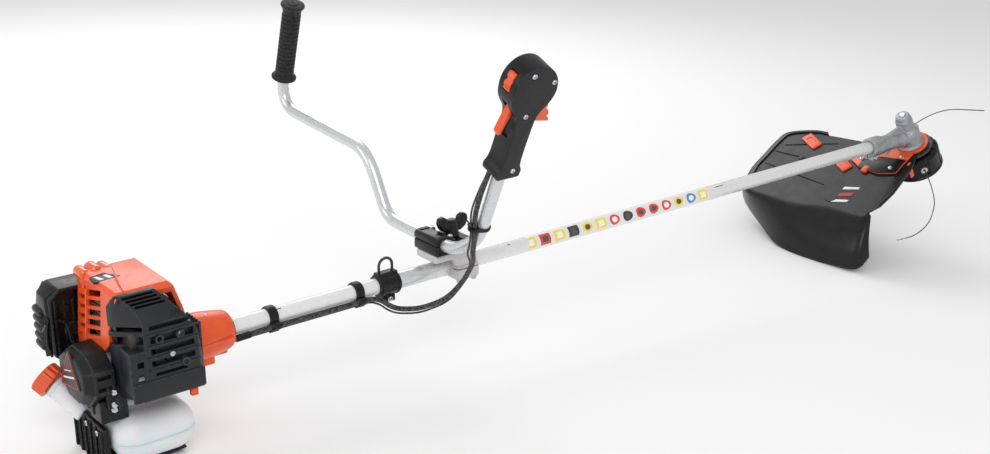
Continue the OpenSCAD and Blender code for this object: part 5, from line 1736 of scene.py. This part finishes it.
@dataclass
class DebrisGuard:
    """The deep curved guard behind the head, with its clips and bracket."""

    thickness: float = 3.0
    crease: tuple[tuple[float, float, float], ...] = (
        (28, 197, 20), (34, 232, 20), (58, 282, 20), (86, 291, 20), (140, 290, 20),
        (189, 286, 20), (245, 255, 20), (252, 178, 20), (251, 111, 20), (243, 74, 20),
        (234, 37, 20), (232, -5, 20), (228, -48, 20), (212, -51, 20))
    rim: tuple[tuple[float, float, float], ...] = (
        (30, 196, 38), (36, 230, 44), (60, 280, 56), (88, 291, 66), (145, 298, 74),
        (189, 302, 80), (226, 296, 80), (278, 204, 80), (310, 139, 80), (318, 90, 80),
        (318, 39, 80), (314, -14, 80), (304, -64, 80), (270, -72, 74))
    deck: tuple[tuple[float, float], ...] = (
        (180, -52), (138, -55), (70, -48), (24, -34), (30, -26), (34, 0), (30, 26), (24, 60))

    def rows(self) -> list[list[Vector]]:
        """The curved skirt as rows of points.

        Returns:
            The rows, from the deck's edge down to the rim.
        """
        top = spline(self.crease, 5)
        low = spline(self.rim, 5)
        inward = [(Vector((120, 90, 20)) - p).normalized() for p in top]
        out = [[p + d * 13 for p, d in zip(top, inward)],
               [p + d * 6 + Vector((0, 0, 0.7)) for p, d in zip(top, inward)],
               [p + d * 1.6 + Vector((0, 0, 2.6)) for p, d in zip(top, inward)]]
        for k in range(1, 9):
            t = k / 8
            bulge = min(math.sin(t * math.pi) * 0.13 + t, 1.02)
            out.append([a + Vector(((b - a).x * bulge, (b - a).y * bulge,
                                    2.6 + ((b - a).z - 2.6) * t ** 1.25))
                        for a, b in zip(top, low)])
        return out

    def build(self) -> None:
        """Makes the skirt, deck, beads, clips, tab, bracket and cutter."""
        rows = self.rows()
        guard = Solid.skin(rows, -self.thickness)
        deck = [(p.x, p.y) for p in rows[0]] + list(self.deck)
        flat = Solid.prism(deck, Plane.TOP, 20.04, 23.1)
        flat.cut(Solid.rod((0, 0, 10), (0, 0, 40), 30, steps=64))
        flat.cut(Solid.rod((120, 200, 10), (120, 200, 30), 2.6, steps=20))
        rim = [p + Vector((0, 0, -2.6)) for p in rows[-1]]
        guard.add(flat, Solid.tube(rim, 2.4, 12))
        for at in ((52, 150, 96, 262), (112, 120, 120, 270), (170, 100, 160, 268)):
            guard.add(Solid.tube([(at[0], at[1], 19.9), ((at[0] + at[2]) / 2,
                                 (at[1] + at[3]) / 2, 19.2), (at[2], at[3], 19.9)], 1.3, 10))
        for k in range(5):
            row = [rows[j][10 + 12 * k] for j in range(2, len(rows))]
            inner = [p + (Vector((150, 110, p.z)) - p).normalized() * 4.2 for p in row]
            guard.add(Solid.tube(inner, 1.8, 8))
        guard.add(Solid.tube([(66, -46, 20.4), (140, -52, 20.4), (178, -48, 20.4)], 2, 10),
                  Solid.rod((196, 60, 18.8), (196, 60, 21), 13, 14, 40),
                  Solid.rod((120, 200, 17.8), (120, 200, 21), 5, 6, 28),
                  Solid.prism([(50, -25.4), (90, -26.6), (104.8, 10), (100.8, 60.6), (80, 63),
                               (58, 30)], Plane.TOP, 14.4, 15.8).bevel(0.6, 2, 30))
        piece("guard_shell", guard.place(HEAD), GUARD_BLACK, ("debris_guard",), smooth=50)
        clips = Solid()
        for u, v, turn in ((67, 209, 24), (103, 101, 24)):
            clip = Solid.box((-12, -25, 16), (12, 25, 20.6)).bevel(1.4)
            clip.cut(Solid.box((-6, -14, 15), (6, 14, 17.4)))
            clips.add(clip.turn(turn, "Z").move(u, v, 0))
        clips.add(Solid.box((92, 34, 14), (110, 48, 20.4)).bevel(1.8))
        clips.add(Solid.box((50, -36, 17), (60, -32.6, 54)).bevel(1.2))
        piece("guard_clips", clips.place(HEAD), ORANGE)
        marks = Solid().add(*[Solid.prism([(150 + 20 * k, 20), (156 + 20 * k, 20),
                                           (168 + 20 * k, 52), (160 + 20 * k, 52)], Plane.TOP,
                                          19.2, 20.1) for k in (0, 2)])
        piece("guard_marks", marks.place(HEAD), SILVER_MARK)
        red = Solid.prism([(168, 22), (178, 22), (190, 50), (180, 50)], Plane.TOP, 19.2, 20.1)
        piece("guard_mark_red", red.place(HEAD), RED_MARK)
        bracket = Solid.prism([(28, -26), (90, -26), (104, 10), (100, 60), (88, 87), (40, 87),
                               (28, 40)], Plane.TOP, 15.4, 19.9).bevel(1.3, 3, 30)
        bracket.fuse(Solid.rod((0, 0, 15.8), (0, 0, 19.9), 36, steps=64))
        bracket.cut(Solid.rod((0, 0, 10), (0, 0, 30), 29.4, steps=64))
        piece("guard_mount", bracket.place(HEAD), ORANGE, ("guard_bracket",))
        bolts = Solid().add(*[screw((u, v, 15.4), (0, 0, -1), 4.6, 3)
                              for u, v in ((46, -12), (46, 66), (78, 66), (82, -8))])
        piece("guard_bolts", bolts.place(HEAD), STEEL)
        blade = Solid.box((0, 0, 0), (30, 2, 16)).bevel(0.5, 2)
        blade.turn(8, "Z").move(241, -44, 47)
        piece("cutter_blade", blade.place(HEAD), STEEL, ("line_cutter",))


@dataclass
class TrimmerLines:
    """The two free ends of the nylon line."""

    width: float = 2.4
    step: float = 1.6
    first: tuple[tuple[float, float, float], ...] = (
        (-27, 41.5, 55), (-35, 54, 55), (-60, 67, 58), (-92, 66, 62), (-132, 51, 62),
        (-159, 21, 60), (-176, -55, 58))
    second: tuple[tuple[float, float, float], ...] = (
        (27, -41.5, 55), (35, -54, 55), (62, -84, 60), (98, -116, 64), (149, -136, 66),
        (190, -130, 66), (214, -104, 66))

    def build(self) -> None:
        """Makes both ends as twisted line, each a free cord with a bare end."""
        for name, path in (("line_end_left", self.first), ("line_end_right", self.second)):
            points = [HEAD @ p for p in rounded(path, 22, 10)]
            dense = [points[0]]
            for point in points[1:]:
                if (point - dense[-1]).length > self.step:
                    dense.append(point)
            fine = [a.lerp(b, k / 2) for a, b in zip(dense, dense[1:]) for k in range(2)]
            fine.append(dense[-1])
            line = Solid.tube(fine, self.width / 2, 8, 0.28, 0.42)
            thing = piece(name, line, NYLON, body="head", smooth=50)
        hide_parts("trimmer_lines")


@dataclass
class Studio:
    """Camera, floor and lights."""

    place: tuple[float, float, float] = (-782.29, -1611.49, 787.50)
    lens: float = 49.345
    facing: tuple[Colour, ...] = ((0.787628, 0.210289, -0.579155),
                                  (-0.616151, 0.268813, -0.740336),
                                  (0.0, 0.939956, 0.341294))
    floor_size: float = 40
    floor_drop: float = 0.0008
    sky: float = 0.66
    lamps: tuple[tuple[str, Colour, Colour, float, float], ...] = (
        ("key", (-1.2, -2.4, 2.6), (0.7, 0, 0.3), 1.8, 40),
        ("rim", (1.6, 2.6, 2.2), (0.8, 0, 0.3), 2.2, 36),
        ("left", (-2.4, 1.0, 1.6), (0.0, 0, 0.2), 1.4, 16))

    def camera(self) -> None:
        """Puts the camera at its viewpoint."""
        data = bpy.data.cameras.new("viewpoint")
        data.sensor_width, data.lens, data.sensor_fit = 36.0, self.lens, "HORIZONTAL"
        data.clip_start, data.clip_end = 0.05, 100
        camera = bpy.data.objects.new("viewpoint", data)
        bpy.context.scene.collection.objects.link(camera)
        turn = Matrix(self.facing).to_4x4()
        tilt = Matrix.Rotation(-RISE, 4, "Y")
        camera.matrix_world = Matrix.Translation(at_rest(self.place)) @ tilt @ turn
        bpy.context.scene.camera = camera

    def floor(self) -> None:
        """Lays a wide pale floor under the machine."""
        mesh = bpy.data.meshes.new("studio_floor")
        work = bmesh.new()
        bmesh.ops.create_grid(work, x_segments=2, y_segments=2, size=self.floor_size)
        work.to_mesh(mesh)
        work.free()
        floor = bpy.data.objects.new("studio_floor", mesh)
        bpy.context.scene.collection.objects.link(floor)
        mesh.transform(Matrix.Translation((0, 0, -self.floor_drop)))
        graph = Graph("pale_floor")
        noise = graph.node("ShaderNodeTexNoise")
        noise.inputs["Scale"].default_value = 3.0
        graph.feed(graph.surface.inputs["Base Color"],
                   graph.mix(noise.outputs[0], (0.93, 0.93, 0.93), (0.96, 0.96, 0.96)))
        graph.surface.inputs["Roughness"].default_value = 0.9
        mesh.materials.append(graph.material)

    def lights(self) -> None:
        """Lights the scene with a bright sky and three large soft lamps."""
        world = bpy.data.worlds.new("studio")
        world.use_nodes = True
        back = world.node_tree.nodes["Background"]
        back.inputs[0].default_value, back.inputs[1].default_value = (1, 1, 1, 1), self.sky
        bpy.context.scene.world = world
        bpy.context.scene.view_settings.view_transform = "Standard"
        for name, spot, aim, size, power in self.lamps:
            data = bpy.data.lights.new(name, "AREA")
            data.energy, data.size = power, size
            lamp = bpy.data.objects.new(name, data)
            lamp.location = spot
            lamp.rotation_mode = "QUATERNION"
            lamp.rotation_quaternion = (Vector(aim) - Vector(spot)).to_track_quat("-Z", "Y")
            bpy.context.scene.collection.objects.link(lamp)


BY_SLOT = {"orange_plastic": ORANGE, "dark_plastic": CHARCOAL, "black_plastic": BLACK,
           "tank_plastic": MILK, "grip_rubber": RUBBER, "cast_alloy": CAST, "steel": STEEL,
           "white_tube": WHITE_TUBE, "black_metal": DARK_STEEL, "nylon_line": NYLON,
           "cable_sheath": SHEATH, "filter_foam": FOAM, "clear_rubber": CLEAR}
BY_NODE = {"muffler": HOT_STEEL, "fan_housing": CHARCOAL, "purge_bulb": CLEAR,
           "filter_element": FOAM}


def dress_cad_nodes() -> None:
    """Gives every CAD node the finish of its material slot."""
    for name, thing in frame["nodes"].items():
        finish = BY_NODE.get(name, BY_SLOT[SLOT_OF[name]])
        if not thing.data.materials:
            thing.data.materials.append(None)
        for index in range(len(thing.data.materials)):
            thing.data.materials[index] = finish.material()


def main() -> None:
    """Builds the studio and every sub-assembly."""
    studio = Studio()
    studio.camera()
    TrimmerLines().build()
    studio.floor()
    studio.lights()
    dress_cad_nodes()
    for part in (EngineCover(), MufflerCover(), FilterCover(), Starter(), FuelTank(),
                 ClutchHousing(), Shaft(), Handlebar(), ThrottleHandle(), GearHead(),
                 DebrisGuard()):
        log.info("building %s", type(part).__name__)
        part.build()


if __name__ == "__main__":
    logging.basicConfig(level=logging.INFO, format="%(message)s")
    main()
